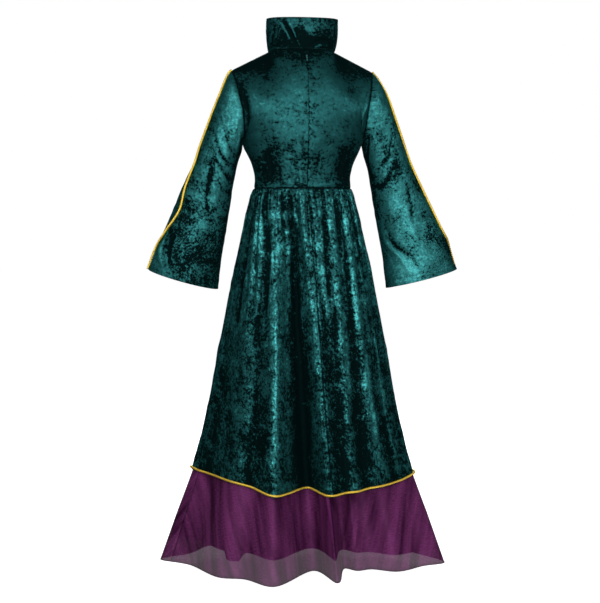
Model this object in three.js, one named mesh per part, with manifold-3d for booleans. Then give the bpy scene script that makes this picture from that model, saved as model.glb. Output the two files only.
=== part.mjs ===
// A floor-length witch gown, held out as if worn, with nobody in it.
//
// Frame: millimetres, +Z up, +Y towards the wearer's front, +X towards the wearer's right.
// The origin is the middle of the neck seam, level with the tops of the shoulders, where the
// gown hangs from its wearer. The open hem is 1429 mm below it.
//
// Cloth: a velvet bodice (two backs and one front), a stand-up collar open at the front, bell
// sleeves in a back and a front half, and a gathered velvet overskirt in three panels. An
// organza skirt and a shorter lining hang inside the overskirt and show below its hem. A gold
// cord edges the overskirt and runs down each sleeve. The centre back closes with a zip.

import * as THREE from "three";
import { mergeVertices } from "three/addons/utils/BufferGeometryUtils.js";
import Module from "manifold-3d";

const wasm = await Module();
wasm.setup();

// Driving dimensions
const WAIST_Z = -381; // waist seam below the neck
const HEM_Z = -1429; // organza hem
const WAIST_HALF = 135.5; // half the waist's width
const WAIST_BACK = 88;
const WAIST_FRONT = 100;
const NECK_HALF = 90; // half the neck seam's width
const NECK_BACK = 63; // neck seam's reach behind the shoulder point
const NECK_FRONT = 91;
const NECK_DROP = 95; // front of the neck seam below the shoulder point
const SHOULDER_Y = 5; // the shoulder seam runs this far in front of the frame's XZ plane
const SHOULDER_TIP = new THREE.Vector3(197, 0, -54);
const COLLAR_HEIGHT = 88;
const VELVET = 1.6; // cloth thicknesses
const COLLAR_CLOTH = 2.4;
const SHEER = 1.0;
const SEAM = 0.2; // each panel stops this short of its seam
const CORD_RADIUS = 2.4;
const CORD_LIFT = 0.35; // clearance between a cord and the cloth under it
const BACK_SQUARE = 0.85; // below 1, an oval's flanks are fuller than an ellipse's
const GATHERS = 32;
const TURN = 360;
const FINE = TURN / GATHERS / 4; // degrees between the overskirt's columns, four to a gather
const COARSE = 2 * FINE; // and between the columns of the layers under it

// Tables: one row for each section or fold
const BODICE_BACK = [
  // share up the panel, centre line (y, z), side seam then armhole (x, y, z), arc in degrees
  { up: 0.0, cy: -88, cz: -381, sx: 135.5, sy: 0, sz: -381, arc: 90 },
  { up: 0.12, cy: -87, cz: -350, sx: 133, sy: 0, sz: -347, arc: 90 },
  { up: 0.25, cy: -92, cz: -312, sx: 141, sy: 0, sz: -312, arc: 90 },
  { up: 0.38, cy: -100, cz: -272, sx: 155, sy: 0, sz: -284, arc: 90 },
  { up: 0.5, cy: -108, cz: -232, sx: 167, sy: 0, sz: -256, arc: 90 },
  { up: 0.62, cy: -114, cz: -180, sx: 168, sy: -44, sz: -222, arc: 75 },
  { up: 0.74, cy: -112, cz: -128, sx: 173, sy: -62, sz: -175, arc: 66 },
  { up: 0.86, cy: -97, cz: -72, sx: 184, sy: -50, sz: -118, arc: 62 },
  { up: 0.94, cy: -78, cz: -32, sx: 192, sy: -24, sz: -78, arc: 62 },
  { up: 1.0, cy: -58, cz: 0, sx: 197, sy: 0, sz: -54, arc: 62 },
];
const BODICE_FRONT = [
  { up: 0.0, cy: 100, cz: -381, sx: 135.5, sy: 0, sz: -381, arc: 90 },
  { up: 0.12, cy: 103, cz: -350, sx: 133, sy: 0, sz: -347, arc: 90 },
  { up: 0.25, cy: 112, cz: -315, sx: 141, sy: 0, sz: -312, arc: 90 },
  { up: 0.38, cy: 122, cz: -280, sx: 155, sy: 0, sz: -284, arc: 90 },
  { up: 0.5, cy: 127, cz: -245, sx: 167, sy: 0, sz: -256, arc: 90 },
  { up: 0.62, cy: 126, cz: -210, sx: 164, sy: 38, sz: -222, arc: 75 },
  { up: 0.74, cy: 119, cz: -175, sx: 166, sy: 52, sz: -175, arc: 66 },
  { up: 0.86, cy: 110, cz: -140, sx: 177, sy: 44, sz: -118, arc: 62 },
  { up: 0.94, cy: 103, cz: -115, sx: 189, sy: 22, sz: -78, arc: 62 },
  { up: 1.0, cy: 96, cz: -95, sx: 197, sy: 0, sz: -54, arc: 62 },
];
const ARMPIT_UP = 0.5; // where the side seam ends and the armhole begins
const BUST = { x: 84, z: -236, out: 22, wide: 42, tall: 50 };
const NECK_BLEND = { from: 0.6, power: 2 };
const SEAM_SPLIT = 0.5; // share of a bodice panel's top edge that is neck, not shoulder

const SLEEVE = [
  // share down the sleeve, outer edge (x on the left and right sleeve, z), underarm edge (x on
  // the left and right, z), half depth, the middle's y
  { down: 0.06, left: 209, right: 214, oz: -72, underLeft: 170, underRight: 170, uz: -268, deep: 62, y: 0 },
  { down: 0.14, left: 228, right: 237, oz: -118, underLeft: 173, underRight: 173, uz: -285, deep: 60, y: 1 },
  { down: 0.23, left: 249, right: 258, oz: -170, underLeft: 179, underRight: 180, uz: -305, deep: 57, y: 3 },
  { down: 0.32, left: 269, right: 277, oz: -222, underLeft: 186, underRight: 188, uz: -332, deep: 56, y: 5 },
  { down: 0.43, left: 297, right: 302, oz: -293, underLeft: 194, underRight: 196, uz: -375, deep: 57, y: 8 },
  { down: 0.56, left: 331, right: 337, oz: -366, underLeft: 202, underRight: 205, uz: -425, deep: 60, y: 11 },
  { down: 0.7, left: 361, right: 374, oz: -438, underLeft: 211, underRight: 216, uz: -482, deep: 64, y: 14 },
  { down: 0.84, left: 392, right: 412, oz: -512, underLeft: 222, underRight: 229, uz: -548, deep: 69, y: 17 },
  { down: 0.92, left: 412, right: 432, oz: -558, underLeft: 229, underRight: 237, uz: -602, deep: 72, y: 19 },
  { down: 1.0, left: 429, right: 449, oz: -605, underLeft: 235, underRight: 244, uz: -658, deep: 75, y: 20 },
];
const SLEEVE_ROWS = [0, 0.03, 0.06, 0.14, 0.23, 0.32, 0.38, 0.43, 0.5, 0.56, 0.63, 0.7, 0.77, 0.84, 0.92, 1];
const SLEEVE_SEAM = [
  // where the outer seam runs, in degrees towards the back
  { down: 0.0, left: 0, right: 0 },
  { down: 0.35, left: 0, right: -4 },
  { down: 0.5, left: 14, right: -10 },
  { down: 0.62, left: 25, right: 0 },
  { down: 0.74, left: 20, right: 0 },
  { down: 0.85, left: 2, right: -12 },
  { down: 1.0, left: 0, right: -15 },
];

const FLARE = [
  // how far the skirt has opened from the waist's oval to the hem's outline
  { z: -381, open: 0 },
  { z: -417, open: 0.036 },
  { z: -462, open: 0.08 },
  { z: -557, open: 0.165 },
  { z: -688, open: 0.276 },
  { z: -824, open: 0.384 },
  { z: -1024, open: 0.533 },
  { z: -1170, open: 0.683 },
  { z: -1429, open: 1 },
];
const FOLDS = [
  // crests and valleys round the skirt: degrees from the centre back at the waist, place on the
  // hem's outline, the stiffer velvet's place there if it had reached so low, and its hem
  { name: "left side", waist: -99, x: -396, y: 80, velvetX: -390, velvetY: 77, hem: -1170 },
  { name: "left valley", waist: -80, x: -316, y: -10, velvetX: -326, velvetY: -20, hem: -1175 },
  { name: "left crest", waist: -67, x: -258, y: -160, velvetX: -258, velvetY: -152, hem: -1182 },
  { name: "left panel", waist: -55, x: -188, y: -198, velvetX: -188, velvetY: -204, hem: -1192 },
  { name: "back crest left", waist: -39, x: -118, y: -290, velvetX: -118, velvetY: -290, hem: -1207 },
  { name: "back valley", waist: -22, x: 10, y: -128, velvetX: 7, velvetY: -146, hem: -1203 },
  { name: "back crest right", waist: -5, x: 50, y: -279, velvetX: 50, velvetY: -279, hem: -1210 },
  { name: "tucked valley", waist: 12, x: 97, y: -118, velvetX: 108, velvetY: -238, hem: -1209 },
  { name: "small crest", waist: 23, x: 130, y: -148, velvetX: 144, velvetY: -236, hem: -1207 },
  { name: "small valley", waist: 32, x: 172, y: -136, velvetX: 182, velvetY: -204, hem: -1204 },
  { name: "right crest", waist: 44, x: 236, y: -174, velvetX: 236, velvetY: -190, hem: -1200 },
  { name: "right valley", waist: 60, x: 317, y: -122, velvetX: 320, velvetY: -128, hem: -1193 },
  { name: "right side", waist: 81, x: 392, y: -78, velvetX: 384, velvetY: -74, hem: -1178 },
  { name: "front valley 1", waist: 100, x: 325, y: 66, velvetX: 333, velvetY: 69, hem: -1182 },
  { name: "front crest 1", waist: 118, x: 262, y: 190, velvetX: 262, velvetY: 190, hem: -1196 },
  { name: "front valley 2", waist: 134, x: 172, y: 185, velvetX: 177, velvetY: 191, hem: -1202 },
  { name: "front crest 2", waist: 150, x: 105, y: 302, velvetX: 105, velvetY: 302, hem: -1210 },
  { name: "front valley 3", waist: 168, x: 20, y: 225, velvetX: 20, velvetY: 233, hem: -1208 },
  { name: "front crest 3", waist: 188, x: -72, y: 308, velvetX: -72, velvetY: 308, hem: -1211 },
  { name: "front valley 4", waist: 206, x: -148, y: 205, velvetX: -152, velvetY: 211, hem: -1203 },
  { name: "front crest 4", waist: 224, x: -240, y: 235, velvetX: -240, velvetY: 235, hem: -1196 },
  { name: "front valley 5", waist: 243, x: -308, y: 140, velvetX: -319, velvetY: 146, hem: -1180 },
];
const GATHER_HEIGHT = [
  // how far the gathers stand out below the waist seam
  { z: -381, out: 2.2 },
  { z: -400, out: 5.0 },
  { z: -450, out: 5.5 },
  { z: -520, out: 3.6 },
  { z: -620, out: 1.4 },
  { z: -700, out: 0 },
  { z: -1429, out: 0 },
];
const ORGANZA_INSET = [
  // how far the organza lies inside the velvet
  { z: -381, in: 2.1 },
  { z: -430, in: 5.5 },
  { z: -580, in: 9 },
  { z: -1170, in: 9 },
  { z: -1290, in: 3 },
  { z: -1429, in: 0 },
];
const LINING_INSET = [
  // how far the lining lies inside the organza
  { z: -381, in: 1.4 },
  { z: -430, in: 3 },
  { z: -1429, in: 4 },
];
const COLLAR_FLARE = [
  // the collar's lean away from the neck as it rises
  { up: 0, out: 0 },
  { up: 0.08, out: 3.2 },
  { up: 0.25, out: 6.5 },
  { up: 0.5, out: 10 },
  { up: 1, out: 10.5 },
];
// Rows of each skirt layer. The last one stands for its hem, which dips and rises.
const OVERSKIRT_ROWS = [-381, -400, -430, -490, -580, -700, -850, -1010, -1190];
const ORGANZA_ROWS = [-381, -430, -580, -700, -850, -1010, -1170, -1290, -1429];
const LINING_ROWS = [-381, -430, -580, -700, -850, -1010, -1170, -1290, -1360];

const degrees = THREE.MathUtils.degToRad;
const smooth = THREE.MathUtils.smoothstep;

// A smooth function through one column of a table, against its key column.
function along(table, key, column, period = 0) {
  const knots = table.map((row) => [row[key], row[column]]);
  if (period) {
    const last = knots.at(-1);
    const before = knots.at(-2);
    const [first, second, third] = knots;
    knots.unshift([before[0] - period, before[1]], [last[0] - period, last[1]]);
    for (const k of [first, second, third]) knots.push([k[0] + period, k[1]]);
  }
  if (knots[0][0] > knots[1][0]) knots.reverse();
  const slope = (i) => {
    const a = knots[Math.max(i - 1, 0)];
    const b = knots[Math.min(i + 1, knots.length - 1)];
    return (b[1] - a[1]) / (b[0] - a[0]);
  };
  return (at) => {
    const t = period ? THREE.MathUtils.euclideanModulo(at - table[0][key], period) + table[0][key] : at;
    let i = 0;
    while (i < knots.length - 2 && t > knots[i + 1][0]) i += 1;
    const [t0, v0] = knots[i];
    const [t1, v1] = knots[i + 1];
    const h = t1 - t0;
    const s = THREE.MathUtils.clamp((t - t0) / h, 0, 1);
    const rise = s * s * (3 - 2 * s);
    return v0 + (v1 - v0) * rise + h * s * (1 - s) * ((1 - s) * slope(i) - s * slope(i + 1));
  };
}

// Straight-line version of the same, for columns that must not overshoot.
function straight(table, key, column) {
  const rows = [...table].sort((a, b) => a[key] - b[key]);
  return (at) => {
    let i = 0;
    while (i < rows.length - 2 && at > rows[i + 1][key]) i += 1;
    const share = (at - rows[i][key]) / (rows[i + 1][key] - rows[i][key]);
    return THREE.MathUtils.lerp(rows[i][column], rows[i + 1][column], THREE.MathUtils.clamp(share, 0, 1));
  };
}

// The neck seam, by degrees from the centre back towards the wearer's right.
function neckline(turn) {
  const a = degrees(turn);
  const c = Math.cos(a);
  if (c >= 0) return new THREE.Vector3(NECK_HALF * Math.sin(a), SHOULDER_Y - NECK_BACK * c, 0);
  return new THREE.Vector3(NECK_HALF * Math.sin(a), SHOULDER_Y - NECK_FRONT * c, -NECK_DROP * (-c) ** 1.3);
}

// The waist seam, by degrees from the centre back.
function waistline(turn) {
  const a = degrees(turn);
  const c = Math.cos(a);
  const reach = c >= 0 ? -WAIST_BACK : WAIST_FRONT;
  return new THREE.Vector3(WAIST_HALF * Math.sin(a), reach * Math.abs(c) ** BACK_SQUARE, WAIST_Z);
}

// One half of a bodice panel, from its centre line (round = 0) to its side (round = 1).
function bodicePanel(table, neckAt) {
  const read = {};
  for (const column of ["cy", "cz", "sx", "sy", "sz", "arc"]) read[column] = along(table, "up", column);
  const top = (round) => {
    if (round <= SEAM_SPLIT) return neckline(neckAt(round / SEAM_SPLIT));
    const shoulder = new THREE.Vector3(NECK_HALF, SHOULDER_Y, 0);
    return shoulder.lerp(SHOULDER_TIP, (round - SEAM_SPLIT) / (1 - SEAM_SPLIT));
  };
  const section = (round, up) => {
    const arc = degrees(Math.min(read.arc(up), 90));
    const a = arc * round;
    const k = BACK_SQUARE;
    const cosEnd = Math.max(Math.cos(arc), 0) ** k;
    const share = (Math.max(Math.cos(a), 0) ** k - cosEnd) / (1 - cosEnd);
    return new THREE.Vector3(
      (read.sx(up) * Math.sin(a)) / Math.sin(arc),
      read.sy(up) + (read.cy(up) - read.sy(up)) * share,
      read.cz(up) + (read.sz(up) - read.cz(up)) * round ** 2,
    );
  };
  return (round, up) => {
    const point = section(round, up);
    const blend = smooth(up, NECK_BLEND.from, 1) ** NECK_BLEND.power;
    return point.add(top(round).sub(section(round, 1)).multiplyScalar(blend));
  };
}

const backHalf = bodicePanel(BODICE_BACK, (share) => share * 90);
const frontHalf = bodicePanel(BODICE_FRONT, (share) => 180 - share * 90);

function mirrored(point, side) {
  return point.setX(point.x * side);
}

function bodiceBack(side) {
  return (round, up) => mirrored(backHalf(round, up), side);
}

// The front is one piece, from the left side seam (-1) to the right one (1), with bust shaping.
function bodiceFront(round, up) {
  const point = frontHalf(Math.abs(round), up);
  const across = (point.x - BUST.x) / BUST.wide;
  const down = (point.z - BUST.z) / BUST.tall;
  const swell = BUST.out * Math.exp(-(across ** 2) - down ** 2);
  const seamFade = 1 - smooth(Math.abs(round), 0.75, 1);
  point.y += swell * seamFade;
  return mirrored(point, round < 0 ? -1 : 1);
}

// A sleeve by share down its length and degrees round it: 0 is the outer edge, 90 the back.
function sleeve(side) {
  const read = {};
  const rings = [{ down: 0 }, ...SLEEVE];
  const armhole = (round) => {
    const towards = Math.abs(round);
    const up = 1 - (1 - ARMPIT_UP) * (towards / 180);
    return round >= 0 ? backHalf(1, up) : frontHalf(1, up);
  };
  const ring = (station, round) => {
    if (station.down === 0) return armhole(round).add(new THREE.Vector3(2 * SEAM, 0, 0));
    const a = degrees(round);
    const [outX, underX] = side < 0 ? [station.left, station.underLeft] : [station.right, station.underRight];
    const outer = new THREE.Vector3(outX, station.y, station.oz);
    const under = new THREE.Vector3(underX, station.y, station.uz);
    const middle = outer.clone().add(under).multiplyScalar(0.5);
    const point = middle.clone().add(outer.sub(middle).multiplyScalar(Math.cos(a)));
    point.y -= station.deep * Math.sin(a);
    return point;
  };
  return (turn, down) => {
    const round = THREE.MathUtils.euclideanModulo(turn + 180, TURN) - 180;
    const key = round.toFixed(3);
    if (!read[key]) {
      const table = rings.map((station) => {
        const p = ring(station, round);
        return { down: station.down, x: p.x, y: p.y, z: p.z };
      });
      read[key] = ["x", "y", "z"].map((axis) => along(table, "down", axis));
    }
    const [x, y, z] = read[key].map((f) => f(down));
    return mirrored(new THREE.Vector3(x, y, z), side);
  };
}

const sides = [
  { word: "left", sign: -1 },
  { word: "right", sign: 1 },
];
const sleeveSurface = { left: sleeve(-1), right: sleeve(1) };
const seamTurn = { left: along(SLEEVE_SEAM, "down", "left"), right: along(SLEEVE_SEAM, "down", "right") };

// Half a sleeve: across is 0 at the outer seam and 1 at the underarm seam.
function sleeveHalf(word, end) {
  return (across, down) => sleeveSurface[word](THREE.MathUtils.lerp(seamTurn[word](down), end, across), down);
}

// Its facing is read from the whole sleeve, so both halves agree along their seams.
function sleeveFacing(word, end) {
  return (half, across, down) => {
    const turn = THREE.MathUtils.lerp(seamTurn[word](down), end, across);
    const out = facing(sleeveSurface[word], turn, Math.max(down, 0.004), { column: TURN, row: 1 });
    return end > 0 ? out : out.negate();
  };
}

const flareOpen = along(FLARE, "z", "open");
const gatherOut = straight(GATHER_HEIGHT, "z", "out");
const organzaInset = straight(ORGANZA_INSET, "z", "in");
const liningInset = straight(LINING_INSET, "z", "in");

// A hem's outline by degrees at the waist, from two columns of the table of folds.
function hemOutline(columnX, columnY) {
  const x = along(FOLDS, "waist", columnX, TURN);
  const y = along(FOLDS, "waist", columnY, TURN);
  return (turn) => new THREE.Vector3(x(turn), y(turn), 0);
}

// Shared skirt form: straight folds opening from the waist's oval to the hem's outline.
function skirtForm(outline) {
  return (turn, z) => {
    const open = flareOpen(z);
    const point = waistline(turn);
    const hem = outline(turn);
    point.x += open * (hem.x - point.x);
    point.y += open * (hem.y - point.y);
    return point.setZ(z);
  };
}

// The way a skirt runs at one of its columns: halfway between the facets on either side.
function runOf(surface, turn, row, pitch) {
  const here = surface(turn, row);
  const back = here.clone().sub(surface(turn - pitch, row)).normalize();
  const ahead = surface(turn + pitch, row).sub(here).normalize();
  return back.add(ahead).normalize();
}

// A skirt layer by degrees and row, moved out by lift(turn, z).
function skirtLayer(outline, rows, pitch, hemZ, lift) {
  const form = skirtForm(outline);
  const [level, hem] = rows.slice(-2);
  return (turn, row) => {
    const z = row > level ? row : THREE.MathUtils.mapLinear(row, level, hem, level, hemZ(turn));
    const run = runOf(form, turn, z, pitch);
    const out = new THREE.Vector3(run.y, -run.x, 0).normalize();
    return form(turn, z).addScaledVector(out, lift(turn, z));
  };
}

const overskirtHem = along(FOLDS, "waist", "hem", TURN);
const liningHem = (turn) => -1360 - 22 * Math.sin(degrees(turn));
const velvetOutline = hemOutline("velvetX", "velvetY");
const underOutline = hemOutline("x", "y");

// Gathers vary in depth; they only stand out, so the layers inside stay clear.
function gatherLift(turn, z) {
  const wave = 0.5 + 0.5 * Math.cos(degrees(turn * GATHERS));
  const uneven = 0.78 + 0.22 * Math.sin(degrees(turn * 5 + 40)) * Math.cos(degrees(turn * 3));
  return gatherOut(z) * wave * uneven;
}

const organzaLift = (turn, z) => -organzaInset(z);
const liningLift = (turn, z) => -organzaInset(z) - liningInset(z);
const overskirt = skirtLayer(velvetOutline, OVERSKIRT_ROWS, FINE, overskirtHem, gatherLift);
const organza = skirtLayer(underOutline, ORGANZA_ROWS, COARSE, () => HEM_Z, organzaLift);
const lining = skirtLayer(underOutline, LINING_ROWS, COARSE, liningHem, liningLift);

const frontTaper = (turn) => 1 - 0.16 * smooth(Math.abs(turn), 95, 175);
const collarFlare = along(COLLAR_FLARE, "up", "out");

// The collar by degrees round the neck seam and share of its height. Its front ends part in a V.
function collar(turn, up) {
  const foot = neckline(turn);
  const step = 0.5;
  const run = neckline(turn + step).sub(neckline(turn - step));
  const out = new THREE.Vector3(run.y, -run.x, 0).normalize();
  const spread = smooth(Math.abs(turn), 120, 178) * 40 * up;
  foot.addScaledVector(out, collarFlare(up) + 6 * smooth(Math.abs(turn), 100, 170) * up);
  foot.x += Math.sign(turn) * spread;
  const dip = 3 * Math.max(Math.cos(degrees(turn)), 0) ** 2;
  foot.z += 2 * SEAM + (COLLAR_HEIGHT * frontTaper(turn) - dip) * up;
  return foot;
}

// Evenly spaced numbers from a to b.
function steps(a, b, count) {
  return Array.from({ length: count + 1 }, (_, i) => a + ((b - a) * i) / count);
}

// The way a surface faces, by central differences of its two directions.
function facing(surface, column, row, reach) {
  const [dc, dr] = [reach.column * 1e-3, reach.row * 1e-3];
  const across = surface(column + dc, row).sub(surface(column - dc, row));
  const down = surface(column, row + dr).sub(surface(column, row - dr));
  return across.cross(down).normalize();
}

// The way a panel faces, read from just inside its edges.
function panelFacing(surface, column, row, columns, rows) {
  const inside = (at, [first, last]) => {
    const share = THREE.MathUtils.clamp((at - first) / (last - first), 2e-3, 1 - 2e-3);
    return THREE.MathUtils.lerp(first, last, share);
  };
  const [across, down] = [columns, rows].map((list) => [list[0], list.at(-1)]);
  const reach = { column: across[1] - across[0], row: down[1] - down[0] };
  return facing(surface, inside(column, across), inside(row, down), reach);
}

// A closed cloth wall over a grid of a surface's points. flip turns the side that faces out.
function wall(surface, columns, rows, thick, flip, facingAt = panelFacing) {
  const width = columns.length;
  const outer = rows.map((r) => columns.map((c) => surface(c, r)));
  const out = rows.map((r) => columns.map((c) => facingAt(surface, c, r, columns, rows).multiplyScalar(flip)));
  const trim = (edge, next) => edge.add(next.clone().sub(edge).setLength(SEAM));
  for (const line of outer) {
    trim(line[0], line[1]);
    trim(line.at(-1), line.at(-2));
  }
  for (let j = 0; j < width; j += 1) {
    trim(outer[0][j], outer[1][j]);
    trim(outer.at(-1)[j], outer.at(-2)[j]);
  }
  const inner = outer.map((line, i) => line.map((p, j) => p.clone().addScaledVector(out[i][j], -thick)));
  const points = [...outer.flat(), ...inner.flat()];
  const size = width * rows.length;
  const faces = [];
  const quad = (a, b, c, d) => faces.push(a, b, c, a, c, d);
  for (let i = 0; i < rows.length - 1; i += 1) {
    for (let j = 0; j < width - 1; j += 1) {
      const a = i * width + j;
      quad(a, a + 1, a + width + 1, a + width);
      quad(a + size, a + size + width, a + size + width + 1, a + size + 1);
    }
  }
  for (let j = 0; j < width - 1; j += 1) {
    const end = (rows.length - 1) * width + j;
    quad(j, j + size, j + size + 1, j + 1);
    quad(end, end + 1, end + size + 1, end + size);
  }
  for (let i = 0; i < rows.length - 1; i += 1) {
    const a = i * width;
    const b = a + width - 1;
    quad(a, a + width, a + width + size, a + size);
    quad(b, b + size, b + width + size, b + width);
  }
  if (flip < 0) {
    for (let i = 0; i < faces.length; i += 3) [faces[i + 1], faces[i + 2]] = [faces[i + 2], faces[i + 1]];
  }
  const geometry = new THREE.BufferGeometry().setFromPoints(points);
  return geometry.setIndex(faces);
}

// Finishes
const velvetFinish = new THREE.MeshStandardMaterial({ color: 0x124a4c, roughness: 0.75, metalness: 0 });
const organzaFinish = new THREE.MeshStandardMaterial({ color: 0x6a2c62, roughness: 0.5, metalness: 0 });
const liningFinish = new THREE.MeshStandardMaterial({ color: 0x4a1a48, roughness: 0.6, metalness: 0 });
const goldFinish = new THREE.MeshStandardMaterial({ color: 0xd8ae36, roughness: 0.4, metalness: 0.6 });
const zipFinish = new THREE.MeshStandardMaterial({ color: 0x1c5658, roughness: 0.45, metalness: 0.5 });

const gown = new THREE.Group();

function add(name, geometry, finish, parent = gown) {
  const mesh = new THREE.Mesh(geometry, finish);
  mesh.name = name;
  parent.add(mesh);
  return mesh;
}

// Along the shoulder seam the back and front share one mitre, so their walls don't cross.
function shoulderMitre(surface, round, up, columns, rows) {
  const own = panelFacing(surface, round, up, columns, rows);
  const isShoulder = smooth(Math.abs(round), SEAM_SPLIT - 0.12, SEAM_SPLIT) * smooth(up, 0.93, 0.998);
  const side = Math.sign(surface(round, up).x) || 1;
  const mitre = new THREE.Vector3(0.45 * side, 0, 0.89);
  const flip = own.dot(mitre) < 0 ? -1 : 1;
  return own.lerp(mitre.multiplyScalar(flip), isShoulder).normalize();
}

function bodice() {
  const rows = [0, 0.12, 0.25, 0.38, 0.5, 0.62, 0.74, 0.86, 0.94, 0.975, 1];
  for (const { word, sign } of sides) {
    const columns = steps(0, 1, 10);
    const shape = wall(bodiceBack(sign), columns, rows, VELVET, sign, shoulderMitre);
    add("bodice_back_" + word, shape, velvetFinish);
  }
  const front = wall(bodiceFront, steps(-1, 1, 20), rows, VELVET, -1, shoulderMitre);
  add("bodice_front", front, velvetFinish);
}

function sleeves() {
  for (const { word, sign } of sides) {
    const columns = steps(0, 1, 10);
    const half = (name, end, flip) => {
      const shape = wall(sleeveHalf(word, end), columns, SLEEVE_ROWS, VELVET, flip, sleeveFacing(word, end));
      add(name, shape, velvetFinish);
    };
    half("sleeve_back_" + word, 180, sign);
    half("sleeve_front_" + word, -180, -sign);
  }
}

// The way a skirt layer faces, the same on both sides of each seam.
function skirtFacing(pitch) {
  return (surface, turn, row) => {
    const down = surface(turn, row - 1).sub(surface(turn, row + 1));
    return runOf(surface, turn, row, pitch).cross(down).normalize();
  };
}

function skirts() {
  const panel = (name, surface, rows, pitch, from, to, thick, finish) => {
    const columns = steps(from, to, (to - from) / pitch);
    add(name, wall(surface, columns, rows, thick, -1, skirtFacing(pitch)), finish);
  };
  panel("overskirt_back_left", overskirt, OVERSKIRT_ROWS, FINE, -90, 0, VELVET, velvetFinish);
  panel("overskirt_back_right", overskirt, OVERSKIRT_ROWS, FINE, 0, 90, VELVET, velvetFinish);
  panel("overskirt_front", overskirt, OVERSKIRT_ROWS, FINE, 90, 270, VELVET, velvetFinish);
  panel("organza_back", organza, ORGANZA_ROWS, COARSE, -90, 90, SHEER, organzaFinish);
  panel("organza_front", organza, ORGANZA_ROWS, COARSE, 90, 270, SHEER, organzaFinish);
  panel("lining_back", lining, LINING_ROWS, COARSE, -90, 90, SHEER, liningFinish);
  panel("lining_front", lining, LINING_ROWS, COARSE, 90, 270, SHEER, liningFinish);
}

function collarPiece() {
  const columns = steps(-178.5, 178.5, 44);
  add("collar", wall(collar, columns, [0, 0.08, 0.25, 0.5, 0.75, 1], COLLAR_CLOTH, 1), velvetFinish);
}

// A cord resting on a cloth's edge or seam: a section at each stop, set off along its out.
function cordSolid(stops, isClosed) {
  const edges = 6;
  const count = stops.length;
  const points = [];
  const faces = [];
  const last = isClosed ? count : count - 1;
  stops.forEach(({ point, out }, i) => {
    const before = isClosed || i > 0 ? stops.at(i - 1).point : point;
    const after = isClosed || i < count - 1 ? stops[(i + 1) % count].point : point;
    const legs = [point.clone().sub(before).normalize(), after.clone().sub(point).normalize()];
    const run = legs[0].clone().add(legs[1]).normalize();
    const across = out.clone().cross(run).normalize();
    const outward = run.clone().cross(across);
    const mitre = Math.min(1 / Math.max(run.dot(legs[0]), run.dot(legs[1])), 1.35);
    const centre = point.clone().addScaledVector(outward, (CORD_RADIUS + CORD_LIFT) * mitre);
    for (let k = 0; k < edges; k += 1) {
      const a = (2 * Math.PI * k) / edges;
      const corner = centre.clone().addScaledVector(outward, CORD_RADIUS * Math.cos(a));
      points.push(corner.addScaledVector(across, CORD_RADIUS * Math.sin(a)));
      if (i === last) continue;
      const [p, q] = [i * edges + k, i * edges + ((k + 1) % edges)];
      const [r, s] = [p, q].map((n) => (n + edges) % (edges * count));
      faces.push(p, r, s, p, s, q);
    }
  });
  for (let k = 1; k < edges - 1 && !isClosed; k += 1) {
    const end = edges * (count - 1);
    faces.push(0, k, k + 1, end, end + k + 1, end + k);
  }
  return new THREE.BufferGeometry().setFromPoints(points).setIndex(faces);
}

// The hem cord turns with each column of the overskirt, so it follows the cloth's own facets.
function hemCord() {
  const row = OVERSKIRT_ROWS.at(-1) + 1.2;
  const stops = steps(0, TURN, TURN / FINE).slice(0, -1).map((turn) => {
    const run = runOf(overskirt, turn, row, FINE);
    return { point: overskirt(turn, row), out: new THREE.Vector3(run.y, -run.x, 0) };
  });
  add("overskirt_cord", cordSolid(stops, true), goldFinish);
}

// Each sleeve's cord turns with the rows of the sleeve, down its outer seam.
function sleeveCords() {
  for (const { word } of sides) {
    const stops = SLEEVE_ROWS.map((row) => {
      const down = THREE.MathUtils.clamp(row, 0.004, 0.998);
      const turn = seamTurn[word](down);
      const out = sleeveFacing(word, 180)(sleeveSurface[word], 0, down);
      return { point: sleeveSurface[word](turn, down), out: word === "left" ? out.negate() : out };
    });
    add("sleeve_cord_" + word, cordSolid(stops, false), goldFinish);
  }
}

// Slider and pull tab, in their own frame: x across, y into the cloth, z up the zip.
const ZIP = { above: 0.975, below: 0.94, between: 0.45, baseWide: 4.6, baseTall: 8, baseDeep: 1.5, lift: 0.4 };
const HINGE = { out: 3.7, up: 0.6, pin: 0.55, bore: 0.85, barrel: 1.4, lugWide: 0.8, lugFrom: 1.25 };
const TAB = { wide: 4.4, long: 19, thick: 0.9, hole: 1.1 };

function solidOf(geometry) {
  const bare = geometry.index ? geometry.toNonIndexed() : geometry.clone();
  bare.deleteAttribute("normal");
  bare.deleteAttribute("uv");
  const merged = mergeVertices(bare, 1e-4);
  const vertProperties = merged.attributes.position.array;
  return new wasm.Manifold(new wasm.Mesh({ numProp: 3, vertProperties, triVerts: new Uint32Array(merged.index.array) }));
}

function geometryOf(solid) {
  const mesh = solid.getMesh();
  const geometry = new THREE.BufferGeometry();
  geometry.setAttribute("position", new THREE.BufferAttribute(new Float32Array(mesh.vertProperties), 3));
  return geometry.setIndex(new THREE.BufferAttribute(mesh.triVerts, 1));
}

// A round bar along x at the hinge.
function hingeBar(radius, length) {
  return new THREE.CylinderGeometry(radius, radius, length, 16).rotateZ(Math.PI / 2).translate(0, -HINGE.out, HINGE.up);
}

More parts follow.
